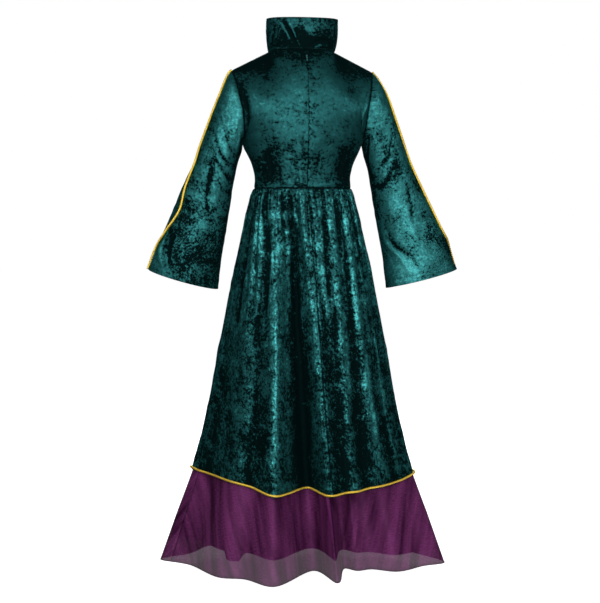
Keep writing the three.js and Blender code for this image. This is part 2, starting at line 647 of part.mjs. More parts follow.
function sliderGeometry() {
  const base = new THREE.BoxGeometry(ZIP.baseWide, ZIP.baseDeep, ZIP.baseTall);
  base.translate(0, -ZIP.lift - ZIP.baseDeep / 2, 0);
  const deep = HINGE.out + HINGE.barrel - ZIP.lift;
  const lugX = HINGE.lugFrom + HINGE.lugWide / 2;
  const lugs = [-1, 1].map((side) =>
    new THREE.BoxGeometry(HINGE.lugWide, deep, 2.8).translate(side * lugX, -ZIP.lift - deep / 2, HINGE.up),
  );
  const pin = hingeBar(HINGE.pin, 2 * lugX);
  return geometryOf([...lugs, pin].reduce((solid, piece) => solid.add(solidOf(piece)), solidOf(base)));
}

function tabGeometry() {
  const outline = new THREE.Shape();
  const half = TAB.wide / 2;
  outline.moveTo(-0.95, 0);
  outline.lineTo(0.95, 0);
  outline.quadraticCurveTo(1.1, -4, half, -TAB.long + half);
  outline.absarc(0, -TAB.long + half, half, 0, -Math.PI, true);
  outline.quadraticCurveTo(-1.1, -4, -0.95, 0);
  const hole = new THREE.Path();
  hole.absarc(0, -TAB.long + half, TAB.hole, 0, 2 * Math.PI);
  outline.holes.push(hole);
  const plate = new THREE.ExtrudeGeometry(outline, { depth: TAB.thick, bevelEnabled: false, curveSegments: 10 });
  plate.rotateX(Math.PI / 2).translate(0, -HINGE.out + TAB.thick / 2, HINGE.up);
  const barrel = solidOf(hingeBar(HINGE.barrel, 2 * HINGE.lugFrom - 0.5));
  return geometryOf(barrel.add(solidOf(plate)).subtract(solidOf(hingeBar(HINGE.bore, 8))));
}

function zip() {
  const above = backHalf(0, ZIP.above);
  const below = backHalf(0, ZIP.below);
  const place = above.clone().lerp(below, ZIP.between);
  const tilt = Math.atan2(above.y - below.y, above.z - below.z);
  const group = new THREE.Group();
  group.position.copy(place);
  group.rotation.x = -tilt;
  add("zip_slider", sliderGeometry(), zipFinish, group);
  add("zip_pull", tabGeometry(), zipFinish, group);
  gown.add(group);
}

bodice();
collarPiece();
sleeves();
skirts();
hemCord();
sleeveCords();
zip();

export default gown;
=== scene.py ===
"""A witch gown held out as if worn, with nobody in it: its cloth, cords, zip and studio.

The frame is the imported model's, in metres: +Z up, +Y towards the wearer's front and +X towards
the wearer's right. The gown's own tables are in millimetres and degrees, as its pattern is drawn,
and each mesh is brought to metres when it is made.
"""

import logging
import math
from dataclasses import dataclass, field
from enum import Enum
from typing import Callable, NamedTuple, Sequence

import bmesh
import bpy
import numpy as np
from mathutils import Matrix, Vector


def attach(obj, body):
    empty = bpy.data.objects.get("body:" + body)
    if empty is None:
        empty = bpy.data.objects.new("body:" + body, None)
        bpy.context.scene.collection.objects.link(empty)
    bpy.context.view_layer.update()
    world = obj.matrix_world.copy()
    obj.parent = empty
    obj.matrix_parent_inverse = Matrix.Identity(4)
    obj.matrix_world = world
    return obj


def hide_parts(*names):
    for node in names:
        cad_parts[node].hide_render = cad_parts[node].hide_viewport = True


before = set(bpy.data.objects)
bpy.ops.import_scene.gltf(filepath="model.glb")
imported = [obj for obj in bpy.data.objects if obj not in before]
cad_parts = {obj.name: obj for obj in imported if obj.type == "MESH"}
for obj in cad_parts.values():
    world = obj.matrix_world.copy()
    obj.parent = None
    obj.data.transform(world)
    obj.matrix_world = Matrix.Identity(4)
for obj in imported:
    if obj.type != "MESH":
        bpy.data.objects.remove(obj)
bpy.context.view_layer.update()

MM = 0.001
Array = np.ndarray
Surface = Callable[[Array, Array], Array]
Colour = tuple[float, float, float, float]
log = logging.getLogger("gown")


class BodiceRow(NamedTuple):
    """One level of a bodice panel: its centre line, its side, and the arc between them."""

    up: float
    centre_y: float
    centre_z: float
    side_x: float
    side_y: float
    side_z: float
    arc: float


class SleeveRow(NamedTuple):
    """One ring of both sleeves: outer edge, underarm edge, half depth and the middle's y."""

    down: float
    left: float
    right: float
    outer_z: float
    under_left: float
    under_right: float
    under_z: float
    deep: float
    y: float


class SeamRow(NamedTuple):
    """Where the outer seam of each sleeve runs, in degrees towards the back."""

    down: float
    left: float
    right: float


class FoldRow(NamedTuple):
    """A crest or valley of the skirt: degrees at the waist, places at the hem, velvet's hem."""

    waist: float
    x: float
    y: float
    velvet_x: float
    velvet_y: float
    hem: float


class Level(NamedTuple):
    """A measure at one height, at one share of a height or at one step."""

    at: float
    value: float


class Patch(NamedTuple):
    """An oval of painted shade (amount below 0) or painted highlight, in its panel's own measures."""

    across: float
    down: float
    wide: float
    long: float
    amount: float


class Crease(NamedTuple):
    """A soft trough (height below 0) or ridge along a path in its panel's own measures.

    Its shade is painted shade (below 0) or painted highlight laid along it.
    """

    height: float
    width: float
    path: tuple[tuple[float, float], ...]
    shade: float = 0.0


def smooth_rise(at: Array, low: float, high: float) -> Array:
    """Rise smoothly from 0 to 1.

    Args:
        at: Values of any shape.
        low: Where the rise starts.
        high: Where it ends.

    Returns:
        The risen share, in the shape of at.
    """
    share = np.clip((at - low) / (high - low), 0.0, 1.0)
    return share * share * (3.0 - 2.0 * share)


def unit(vectors: Array) -> Array:
    """Scale vectors to length 1 along the last axis.

    Args:
        vectors: Vectors of any count.

    Returns:
        The same directions with length 1.
    """
    length = np.linalg.norm(vectors, axis=-1, keepdims=True)
    return vectors / np.maximum(length, 1e-9)


def hermite(keys: Array, values: Array, at: Array) -> Array:
    """Read a smooth curve through knots, with slopes taken across each knot's neighbours.

    Args:
        keys: Rising places of the knots.
        values: Their values, one for each key, or a row of values for each key.
        at: Where to read; with rows of values, one place for each column.

    Returns:
        The curve's values, in the shape of at.
    """
    last = len(keys) - 1
    before = np.maximum(np.arange(last + 1) - 1, 0)
    after = np.minimum(np.arange(last + 1) + 1, last)
    span = (keys[after] - keys[before]).reshape((-1,) + (1,) * (values.ndim - 1))
    slopes = (values[after] - values[before]) / span
    cell = np.clip(np.searchsorted(keys, at, side="left") - 1, 0, last - 1)

    def pick(rows: Array, index: Array) -> Array:
        """Take one value for each place.

        Args:
            rows: The knots' values.
            index: Which knot, for each place.

        Returns:
            The values.
        """
        if rows.ndim == 1:
            return rows[index]
        return np.take_along_axis(rows, index[None, ...], axis=0)[0]

    step = keys[cell + 1] - keys[cell]
    share = np.clip((at - keys[cell]) / step, 0.0, 1.0)
    rise = share * share * (3.0 - 2.0 * share)
    start, end = pick(values, cell), pick(values, cell + 1)
    bend = (1.0 - share) * pick(slopes, cell) - share * pick(slopes, cell + 1)
    return start + (end - start) * rise + step * share * (1.0 - share) * bend


class Curve:
    """A smooth line through one column of a table, against its key column."""

    def __init__(self, table: Sequence[NamedTuple], key: str, column: str, period: float = 0.0) -> None:
        """Sort the knots, and repeat those at the ends where the curve closes on itself.

        Args:
            table: Rows with named columns.
            key: The column that the curve is read against.
            column: The column that it gives.
            period: Length of one round, or 0 for an open curve.
        """
        knots = sorted((getattr(row, key), getattr(row, column)) for row in table)
        self.start, self.period = knots[0][0], period
        if period:
            before = [(k - period, v) for k, v in knots[-2:]]
            after = [(k + period, v) for k, v in knots[:3]]
            knots = before + knots + after
        self.keys = np.array([k for k, _ in knots], float)
        self.values = np.array([v for _, v in knots], float)

    def __call__(self, at: Array) -> Array:
        """Read the curve.

        Args:
            at: Places along the key column.

        Returns:
            The column's values there.
        """
        if self.period:
            at = (at - self.start) % self.period + self.start
        return hermite(self.keys, self.values, np.asarray(at, float))


def straight(levels: Sequence[Level]) -> Callable[[Array], Array]:
    """Join levels by straight lines.

    Args:
        levels: Heights and their values, in any order.

    Returns:
        A function of height.
    """
    ordered = sorted(levels)
    keys = [level.at for level in ordered]
    values = [level.value for level in ordered]
    return lambda at: np.interp(at, keys, values)


def eased(start: float, end: float, count: int) -> Array:
    """Space values from start to end, closer together at both ends, where the seams are."""
    share = np.linspace(0.0, 1.0, count)
    return start + (end - start) * (share - 0.12 * np.sin(2 * np.pi * share))


def length_along(line: Array) -> Array:
    """Give each point's distance from the start of its line."""
    return np.concatenate([[0.0], np.cumsum(np.linalg.norm(np.diff(line, axis=0), axis=-1))])


def along_line(places: Array, gone: Array, values: Array) -> Array:
    """Read what belongs to places along a line, between its known points.

    Args:
        places: Distances from the line's start.
        gone: Each known point's distance from there.
        values: A row of three values for each known point.

    Returns:
        A row of three values for each place.
    """
    return np.stack([np.interp(places, gone, values[:, k]) for k in range(3)], axis=-1)


def outward(run: Array) -> Array:
    """Give the level way that faces out of a cloth, from the way that runs round it."""
    return unit(np.stack([run[..., 1], -run[..., 0], np.zeros_like(run[..., 0])], axis=-1))


class Ripple:
    """Seeded smooth noise over two measures, between -1 and 1."""

    SIZE = 128

    def __init__(self, seed: int) -> None:
        """Draw the lattice from its seed."""
        self.lattice = np.random.default_rng(seed).uniform(-1.0, 1.0, (self.SIZE, self.SIZE))

    def __call__(self, across: Array, down: Array) -> Array:
        """Read the noise.

        Args:
            across: First measure, in cells of the lattice.
            down: Second measure, in cells too.

        Returns:
            Noise in the shape of the inputs.
        """
        i, j = np.floor(across).astype(int), np.floor(down).astype(int)
        a, b = across - i, down - j
        a, b = a * a * (3 - 2 * a), b * b * (3 - 2 * b)
        low, high = i % self.SIZE, (i + 1) % self.SIZE
        near, far = j % self.SIZE, (j + 1) % self.SIZE
        grid = self.lattice
        first = grid[low, near] * (1 - a) + grid[high, near] * a
        second = grid[low, far] * (1 - a) + grid[high, far] * a
        return first * (1 - b) + second * b


class Edge(Enum):
    """An edge of a panel's grid, by the measure that is constant along it."""

    FIRST_COLUMN = "first column"
    LAST_COLUMN = "last column"
    FIRST_ROW = "first row"
    LAST_ROW = "last row"


class Groove(NamedTuple):
    """A sewn edge of a panel, with how deep and how wide the cloth sinks towards it."""

    edge: Edge
    depth: float
    width: float


class Slot(Enum):
    """The record's material slots."""

    VELVET = "velvet"
    GOLD_CORD = "gold_cord"
    ORGANZA = "organza"
    LINING = "lining"
    ZIP = "zip"


class Body(Enum):
    """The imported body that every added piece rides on."""

    GARMENT = "garment"


def placed(name: str, data: bpy.types.ID) -> bpy.types.Object:
    """Put a new object into the scene, at the origin.

    Args:
        name: The object's name.
        data: Its mesh, light or camera.

    Returns:
        The object.
    """
    made = bpy.data.objects.new(name, data)
    bpy.context.scene.collection.objects.link(made)
    return made


def mesh_of(name: str, shape: bmesh.types.BMesh) -> bpy.types.Mesh:
    """Write a worked shape to a new mesh, and free it.

    Args:
        name: The mesh's name.
        shape: The shape.

    Returns:
        The mesh.
    """
    mesh = bpy.data.meshes.new(name)
    shape.to_mesh(mesh)
    shape.free()
    return mesh


def smooth_piece(name: str, mesh: bpy.types.Mesh) -> bpy.types.Object:
    """Shade a mesh smooth and put it into the scene.

    Args:
        name: The piece's name.
        mesh: Its mesh.

    Returns:
        The piece.
    """
    mesh.polygons.foreach_set("use_smooth", np.ones(len(mesh.polygons), bool))
    mesh.update()
    return placed(name, mesh)


def sew_on(piece: bpy.types.Object, finish: bpy.types.Material, slot: Slot) -> None:
    """Give a piece its finish, and let it ride on the garment.

    Args:
        piece: The piece.
        finish: Its only material.
        slot: The record's material slot; not used.
    """
    piece.data.materials.append(finish)
    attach(piece, Body.GARMENT.value)


class Shader:
    """A material's node tree, with short ways to add and join its nodes."""

    def __init__(self, name: str) -> None:
        """Make the material and keep its Principled shader.

        Args:
            name: The material's name.
        """
        self.material = bpy.data.materials.new(name)
        self.material.use_nodes = True
        self.tree = self.material.node_tree
        self.principled = self.tree.nodes["Principled BSDF"]

    def set(self, **values: object) -> None:
        """Set the Principled shader's own sockets, named with underscores for spaces."""
        for name, value in values.items():
            self.principled.inputs[name.replace("_", " ")].default_value = value

    def add(self, kind: str, inputs: dict[str, object] | None = None,
            **settings: object) -> bpy.types.Node:
        """Add a node.

        Args:
            kind: The node's type name, without ShaderNode.
            inputs: Values or output sockets for its named inputs.
            settings: Its own properties.

        Returns:
            The new node.
        """
        node = self.tree.nodes.new("ShaderNode" + kind)
        for name, value in settings.items():
            setattr(node, name, value)
        for name, value in (inputs or {}).items():
            self.feed(node.inputs[name], value)
        return node

    def feed(self, socket: bpy.types.NodeSocket, value: object) -> None:
        """Join an output to a socket, or set the socket's value.

        Args:
            socket: The socket to feed.
            value: An output's socket, or a plain value.
        """
        if isinstance(value, bpy.types.NodeSocket):
            self.tree.links.new(value, socket)
        else:
            socket.default_value = value

    def join(self, name: str, value: bpy.types.NodeSocket) -> None:
        """Join an output to one of the Principled shader's sockets."""
        self.feed(self.principled.inputs[name], value)

    def math(self, operation: str, *terms: object) -> bpy.types.NodeSocket:
        """Do sums on sockets or numbers.

        Args:
            operation: The Math node's operation.
            terms: Its inputs, in order.

        Returns:
            The result's socket.
        """
        node = self.add("Math", operation=operation)
        for socket, term in zip(node.inputs, terms):
            self.feed(socket, term)
        return node.outputs[0]

    def noise(self, vector: bpy.types.NodeSocket, scale: float, detail: float = 2.0,
              roughness: float = 0.5, distortion: float = 0.0) -> bpy.types.Node:
        """Add a noise texture on a vector.

        Args:
            vector: Where the noise is read.
            scale: How many cells there are to a metre.
            detail: How many finer octaves it has.
            roughness: How strong the finer ones are.
            distortion: How far they are drawn aside.

        Returns:
            The texture's node.
        """
        inputs = {"Vector": vector, "Scale": scale, "Detail": detail, "Roughness": roughness,
                  "Distortion": distortion}
        return self.add("TexNoise", inputs)

    def spread(self, value: bpy.types.NodeSocket, low: float, high: float, to_low: float,
               to_high: float) -> bpy.types.NodeSocket:
        """Map a range of values to another, clamped."""
        inputs = {"Value": value, "From Min": low, "From Max": high, "To Min": to_low, "To Max": to_high}
        return self.add("MapRange", inputs).outputs["Result"]

    def ramp(self, value: bpy.types.NodeSocket,
             stops: Sequence[tuple[float, Colour]]) -> bpy.types.NodeSocket:
        """Colour a value.

        Args:
            value: The socket that the ramp reads.
            stops: Places from 0 to 1 and their colours.

        Returns:
            The colour socket.
        """
        node = self.add("ValToRGB", {"Fac": value})
        elements = node.color_ramp.elements
        while len(elements) < len(stops):
            elements.new(0.5)
        for element, (place, colour) in zip(elements, stops):
            element.position = place
            element.color = colour
        return node.outputs["Color"]

    def bump(self, height: bpy.types.NodeSocket, depth: float, strength: float = 1.0,
             under: bpy.types.NodeSocket | None = None) -> bpy.types.NodeSocket:
        """Raise the surface by a height.

        Args:
            height: Height from 0 to 1.
            depth: What a height of 1 stands for, in metres.
            strength: Share of it that is used.
            under: A normal that this bump lies on.

        Returns:
            The normal socket.
        """
        inputs: dict[str, object] = {"Height": height, "Distance": depth, "Strength": strength}
        if under is not None:
            inputs["Normal"] = under
        return self.add("Bump", inputs).outputs["Normal"]

    def cut_map(self, scale: tuple[float, float, float] = (1.0, 1.0, 1.0)) -> bpy.types.NodeSocket:
        """Read the piece's cut, in metres, stretched by a scale.

        Args:
            scale: Factors across and down the cut.

        Returns:
            The vector's socket.
        """
        uv = self.add("UVMap", uv_map=Panel.CUT)
        inputs = {"Vector": uv.outputs["UV"], "Scale": scale}
        return self.add("Mapping", inputs).outputs["Vector"]


@dataclass(frozen=True)
class CrushedVelvet:
    """Panne velvet, its pile pressed flat in patches and flecks that each shine another way.

    Patches and flecks are in metres. The shares say how much each of the three noises counts in
    the pile's tone, and a mesh attribute adds painted shade and painted highlight to it; on the
    skirt a painted shade also deepens towards the hem. Below the first of the cracks the pile is
    dark, and above the last of the glints it shines.
    """

    name: str = "crushed_velvet"
    dark: Colour = (0.001, 0.0065, 0.007, 1.0)
    middle: Colour = (0.012, 0.079, 0.082, 1.0)
    light: Colour = (0.042, 0.25, 0.25, 1.0)
    gloss: Colour = (0.35, 1.0, 0.98, 1.0)
    sheen: Colour = (0.06, 0.42, 0.42, 1.0)
    patch: float = 0.019
    fleck: float = 0.0080
    drawn: float = 1.1
    fleck_share: float = 0.50
    crowd_share: float = 0.22
    press_share: float = 0.28
    relief: float = 0.0010
    crack_relief: float = 0.0005
    fleck_relief: float = 0.0006
    cracks: tuple[float, float] = (0.452, 0.466)
    glints: tuple[float, float] = (0.615, 0.675)
    shade: tuple[float, float] = (0.66, 1.32)
    rough: tuple[float, float] = (0.78, 0.52)
    metal: float = 0.86
    nap_shift: float = 0.10
    low_zone: tuple[float, float] = (-0.62, -1.05)
    low_shift: float = 0.0

    def material(self) -> bpy.types.Material:
        """Make the velvet's right side.

        Returns:
            The material.
        """
        shader = Shader(self.name)
        cut = shader.cut_map((1.0, self.drawn, 1.0))
        press = shader.noise(cut, 1.0 / self.patch, 6.0, 0.66).outputs["Fac"]
        fleck = shader.noise(cut, 1.0 / self.fleck, 5.0, 0.74).outputs["Fac"]
        crowd = shader.noise(cut, 0.30 / self.patch, 2.0, 0.6).outputs["Fac"]
        tone = shader.math("ADD", shader.math("MULTIPLY", fleck, self.fleck_share),
                           shader.math("MULTIPLY", crowd, self.crowd_share))
        tone = shader.math("ADD", tone, shader.math("MULTIPLY", press, self.press_share))
        # Painted shade: the tone sinks lower down the gown, so the skirt darkens towards the hem.
        place = shader.add("TexCoord").outputs["Object"]
        height = shader.add("SeparateXYZ", {"Vector": place}).outputs["Z"]
        tone = shader.math("SUBTRACT", tone, shader.spread(height, *self.low_zone, 0.0, self.low_shift))
        # Painted shade and painted highlight from the mesh attribute shift the tone.
        nap = shader.add("Attribute", attribute_name=Panel.NAP).outputs["Fac"]
        tone = shader.math("ADD", tone, shader.math("MULTIPLY", nap, self.nap_shift))
        crack, glint = self.cracks, self.glints
        dull, lit = (tuple(share * part for part in self.middle[:3]) + (1.0,) for share in self.shade)
        stops = ((crack[0], self.dark), (crack[1], dull), (glint[0], lit), (glint[1], self.light))
        shader.join("Base Color", shader.ramp(tone, stops))
        shader.join("Roughness", shader.spread(tone, crack[0] - 0.03, crack[1], *self.rough))
        flats = shader.spread(tone, crack[0] - 0.02, crack[1] + 0.03, 0.0, 1.0)
        calm = shader.spread(crowd, 0.35, 0.65, 0.3, 1.0)
        coarse = shader.bump(shader.math("MULTIPLY", press, calm), self.relief)
        steps = shader.bump(flats, self.crack_relief, under=coarse)
        shader.join("Normal", shader.bump(fleck, self.fleck_relief, under=steps))
        shader.set(Metallic=self.metal, Specular_Tint=self.gloss, Specular_IOR_Level=0.2,
                   Sheen_Weight=0.06, Sheen_Roughness=0.4, Sheen_Tint=self.sheen)
        return shader.material


@dataclass(frozen=True)
class KnitBacking:
    """The wrong side of the velvet: a fine, dull knit."""

    colour: Colour = (0.005, 0.032, 0.034, 1.0)
    raised: Colour = (0.009, 0.052, 0.054, 1.0)
    stitch: float = 0.0012

    def material(self) -> bpy.types.Material:
        """Make the backing.

        Returns:
            The material.
        """
        shader = Shader("knit_backing")
        inputs = {"Vector": shader.cut_map(), "Scale": 0.314 / self.stitch, "Distortion": 1.0}
        rows = shader.add("TexWave", inputs, bands_direction="X").outputs["Fac"]
        shader.join("Base Color", shader.ramp(rows, ((0.2, self.colour), (0.8, self.raised))))
        shader.join("Normal", shader.bump(rows, 0.0002, 0.5))
        shader.set(Roughness=0.85, Sheen_Weight=0.1)
        return shader.material


@dataclass(frozen=True)
class GoldCord:
    """Twisted metallic yarn."""

    dark: Colour = (0.58, 0.36, 0.025, 1.0)
    light: Colour = (0.98, 0.70, 0.09, 1.0)

    def material(self) -> bpy.types.Material:
        """Make the cord's yarn, lighter on its filaments.

        Returns:
            The material.
        """
        shader = Shader("gold_yarn")
        filaments = shader.noise(shader.cut_map((1.0, 0.25, 1.0)), 2600.0, 2.0).outputs["Fac"]
        shader.join("Base Color", shader.ramp(filaments, ((0.35, self.dark), (0.6, self.light))))
        shader.join("Normal", shader.bump(filaments, 0.0004, 0.6))
        shader.set(Roughness=0.46, Metallic=0.5)
        return shader.material


@dataclass(frozen=True)
class Organza:
    """Sheer plum organza, with a fine even weave."""

    colour: Colour = (0.026, 0.003, 0.021, 1.0)
    slub: Colour = (0.168, 0.032, 0.134, 1.0)
    cover: float = 0.78

    def material(self) -> bpy.types.Material:
        """Make the organza.

        Returns:
            The material.
        """
        shader = Shader("organza")
        slubs = shader.noise(shader.cut_map((1.0, 14.0, 1.0)), 60.0, 3.0, 0.6).outputs["Fac"]
        # Long soft streaks of painted shade and highlight stand in for the organza's folds and overlapping
        # layers.
        folds = shader.noise(shader.cut_map((1.0, 0.14, 1.0)), 26.0, 3.0, 0.55).outputs["Fac"]
        tone = shader.math("ADD", shader.math("MULTIPLY", slubs, 0.4),
                           shader.math("MULTIPLY", folds, 0.6))
        shader.join("Base Color", shader.ramp(tone, ((0.38, self.colour), (0.62, self.slub))))
        shader.set(Roughness=0.6, Alpha=self.cover, Specular_IOR_Level=0.2,
                   Specular_Tint=(0.9, 0.4, 0.8, 1.0))
        return shader.material


@dataclass(frozen=True)
class PlumLining:
    """Opaque plum polyester with a soft sheen."""

    colour: Colour = (0.070, 0.006, 0.060, 1.0)
    light: Colour = (0.10, 0.010, 0.085, 1.0)

    def material(self) -> bpy.types.Material:
        """Make the lining.

        Returns:
            The material.
        """
        shader = Shader("plum_lining")
        cloud = shader.noise(shader.cut_map((1.0, 0.3, 1.0)), 40.0, 3.0).outputs["Fac"]
        shader.join("Base Color", shader.ramp(cloud, ((0.35, self.colour), (0.65, self.light))))
        shader.set(Roughness=0.55, Specular_IOR_Level=0.3, Specular_Tint=(0.9, 0.4, 0.8, 1.0))
        return shader.material


@dataclass(frozen=True)
class SewingThread:
    """Spun thread, with its twist."""

    name: str = "teal_thread"
    colour: Colour = (0.010, 0.060, 0.062, 1.0)
    light: Colour = (0.030, 0.140, 0.142, 1.0)

    def material(self) -> bpy.types.Material:
        """Make the thread.

        Returns:
            The material.
        """
        shader = Shader(self.name)
        place = shader.add("TexCoord").outputs["Object"]
        fibres = shader.noise(place, 1800.0, 2.0).outputs["Fac"]
        shader.join("Base Color", shader.ramp(fibres, ((0.35, self.colour), (0.65, self.light))))
        shader.set(Roughness=0.6, Specular_IOR_Level=0.3)
        return shader.material


@dataclass(frozen=True)
class ZipEnamel:
    """Metal enamelled to match the velvet, worn at its edges."""

    colour: Colour = (0.012, 0.075, 0.078, 1.0)
    worn: Colour = (0.06, 0.17, 0.17, 1.0)

    def material(self) -> bpy.types.Material:
        """Make the enamel.

        Returns:
            The material.
        """
        shader = Shader("zip_enamel")
        place = shader.add("TexCoord").outputs["Object"]
        patches = shader.noise(place, 420.0, 3.0).outputs["Fac"]
        shader.join("Base Color", shader.ramp(patches, ((0.45, self.colour), (0.7, self.worn))))
        shader.join("Roughness", shader.spread(patches, 0.3, 0.7, 0.28, 0.45))
        shader.set(Metallic=0.3, Coat_Weight=0.4)
        return shader.material


@dataclass(frozen=True)
class PaleFloor:
    """A plain pale studio floor."""

    colour: Colour = (0.92, 0.92, 0.92, 1.0)

    def material(self) -> bpy.types.Material:
        """Make the floor's paint.

        Returns:
            The material.
        """
        shader = Shader("pale_floor")
        shader.set(Base_Color=self.colour, Roughness=0.9, Emission_Color=self.colour,
                   Emission_Strength=1.05)
        return shader.material


@dataclass
class Wardrobe:
    """Every finish of the gown, made once."""

    velvet: bpy.types.Material
    skirt_velvet: bpy.types.Material
    sleeve_velvet: bpy.types.Material
    backing: bpy.types.Material
    gold: bpy.types.Material
    organza: bpy.types.Material
    lining: bpy.types.Material
    zip: bpy.types.Material
    thread: bpy.types.Material
    rolled: bpy.types.Material

    @classmethod
    def make(cls) -> "Wardrobe":
        """Make the finishes.

        Returns:
            The wardrobe.
        """
        rolled = SewingThread("plum_thread", (0.030, 0.004, 0.026, 1.0), (0.070, 0.010, 0.058, 1.0))
        # The skirt and sleeve velvets are lighter and darker copies of the one velvet: their colours and
        # thresholds are partly painted light, for how brightly each region is lit.
        skirt = CrushedVelvet("crushed_velvet_skirt", middle=(0.0158, 0.100, 0.103, 1.0), drawn=0.85,
                              light=(0.055, 0.36, 0.36, 1.0), fleck=0.0068,
                              cracks=(0.470, 0.484), glints=(0.552, 0.585), relief=0.0014,
                              fleck_relief=0.0009, nap_shift=0.08, low_shift=0.035)
        sleeve = CrushedVelvet("crushed_velvet_sleeve", middle=(0.0182, 0.117, 0.120, 1.0), drawn=1.0,
                               light=(0.050, 0.28, 0.28, 1.0), cracks=(0.460, 0.474), glints=(0.575, 0.63),
                               fleck=0.0066, relief=0.0008, fleck_relief=0.0006, nap_shift=0.08)
        finishes = (CrushedVelvet(), skirt, sleeve, KnitBacking(), GoldCord(), Organza(), PlumLining(),
                    ZipEnamel(), SewingThread(), rolled)
        return cls(*(finish.material() for finish in finishes))


class Panel:
    """A panel of cloth on a grid over a surface, with its grooves, creases and crumpling.

    The surface gives points in millimetres. Relief is measured along the side that faces out.
    """

    CUT = "cut"
    # The mesh attribute that carries painted shade and painted highlight to the velvet's colour.
    NAP = "nap"

    def __init__(self, name: str, surface: Surface, across: Array, down: Array, out: int) -> None:
        """Lay the grid on the surface.

        Args:
            name: The piece's name.
            surface: Points of the cloth by its two measures.
            across: First measure, one value for each column.
            down: Second measure, one value for each row.
            out: 1 where across turned towards down faces out, and -1 where it faces in.
        """
        self.name, self.out = name, out
        self.across, self.down = np.asarray(across, float), np.asarray(down, float)
        self.columns, self.rows = np.meshgrid(self.across, self.down)
        self.base = surface(self.columns, self.rows)
        self.normals = self.facing(self.base)
        self.wide, self.long = self.lengths(self.base)
        self.relief = np.zeros(self.columns.shape)
        # Painted shade (below 0) and painted highlight (above 0) at each point, by fold, seam and region.
        self.nap = np.zeros(self.columns.shape)
        self.tube = False

    def facing(self, points: Array) -> Array:
        """Give the way each point of a grid faces.

        Args:
            points: Rows and columns of points.

        Returns:
            Directions of length 1.
        """
        along = np.gradient(points, axis=1)
        fall = np.gradient(points, axis=0)
        return self.out * unit(np.cross(along, fall))

    @staticmethod
    def lengths(points: Array) -> tuple[Array, Array]:
        """Measure a grid along its cloth.

        Args:
            points: Rows and columns of points.

        Returns:
            Lengths from the first column, and from the first row.
        """
        wide = np.zeros(points.shape[:2])
        long = np.zeros(points.shape[:2])
        wide[:, 1:] = np.cumsum(np.linalg.norm(np.diff(points, axis=1), axis=-1), axis=1)
        long[1:, :] = np.cumsum(np.linalg.norm(np.diff(points, axis=0), axis=-1), axis=0)
        return wide, long

    def away_from(self, edge: Edge) -> Array:
        """Give each point's distance from an edge, along the cloth.

        Args:
            edge: Which edge.

        Returns:
            Distances in millimetres.
        """
        return {
            Edge.FIRST_COLUMN: self.wide,
            Edge.LAST_COLUMN: self.wide[:, -1:] - self.wide,
            Edge.FIRST_ROW: self.long,
            Edge.LAST_ROW: self.long[-1:, :] - self.long,
        }[edge]

    def sink(self, grooves: Sequence[Groove]) -> None:
        """Sink the cloth towards its sewn edges, and paint shade along the stitches.

        Args:
            grooves: The edges.
        """
        for groove in grooves:
            away = self.away_from(groove.edge)
            self.relief -= groove.depth * np.exp(-(away / groove.width) ** 2)
            # Painted shade along the stitches.
            self.nap -= 1.1 * min(groove.depth, 1.6) * np.exp(-(away / 2.0) ** 2)

    def clear_of_edges(self, reach: float) -> Array:
        """Give a share that falls to 0 at every edge."""
        nearest = np.min([self.away_from(edge) for edge in Edge], axis=0)
        return smooth_rise(nearest, 0.0, reach)

    def crumple(self, seed: int, height: float, wide: float, long: float, fade: float = 14.0) -> None:
        """Add seeded ripples.

        Args:
            seed: Seed of the noise.
            height: Half the ripples' height.
            wide: Their size across the cloth.
            long: Their size down the cloth.
            fade: How far from an edge they reach their full height.
        """
        middle = self.wide - self.wide[:, -1:] / 2
        waves = Ripple(seed)(middle / wide, self.long / long)
        self.relief += height * waves * self.clear_of_edges(fade)

    def fold(self, creases: Sequence[Crease]) -> None:
        """Add troughs and ridges.

        Args:
            creases: Their shapes.
        """
        for crease in creases:
            self.crease(crease)

    def crease(self, crease: Crease) -> None:
        """Add a trough or ridge that tapers towards both ends of its path.

        Args:
            crease: Its shape, and the painted shade or highlight along it.
        """
        path = [self.place_of(across, down) for across, down in crease.path]
        total = sum(math.dist(a, b) for a, b in zip(path, path[1:]))
        nearest = np.full(self.columns.shape, np.inf)
        share = np.zeros(self.columns.shape)
        gone = 0.0
        for (ax, ay), (bx, by) in zip(path, path[1:]):
            length = math.dist((ax, ay), (bx, by))
            along = ((self.wide - ax) * (bx - ax) + (self.long - ay) * (by - ay)) / length ** 2
            along = np.clip(along, 0.0, 1.0)
            away = np.hypot(self.wide - ax - along * (bx - ax), self.long - ay - along * (by - ay))
            closer = away < nearest
            nearest = np.where(closer, away, nearest)
            share = np.where(closer, (gone + along * length) / total, share)
            gone += length
        taper = np.sin(np.pi * np.clip(share, 0.02, 0.98)) ** 0.6
        self.relief += crease.height * taper * np.exp(-(nearest / crease.width) ** 2)
        # Painted shade or painted highlight along the crease.
        self.nap += crease.shade * taper * np.exp(-(nearest / crease.width / 1.15) ** 2)

    def place_of(self, across: float, down: float) -> tuple[float, float]:
        """Find a place of the panel's own measures on the cloth.

        Args:
            across: The place by the first measure.
            down: The place by the second.

        Returns:
            Lengths along the cloth from the first column and from the first row.
        """
        i = float(np.interp(down, *self.rising(self.down)))
        j = float(np.interp(across, *self.rising(self.across)))
        row, column = int(round(i)), int(round(j))
        return float(self.wide[row, column]), float(self.long[row, column])

    @staticmethod
    def rising(values: Array) -> tuple[Array, Array]:
        """Pair a measure with its indices, in rising order."""
        order = np.argsort(values)
        return values[order], order.astype(float)

    def shaped(self) -> Array:
        """Give the finished points, in millimetres."""
        return self.base + self.normals * self.relief[..., None]

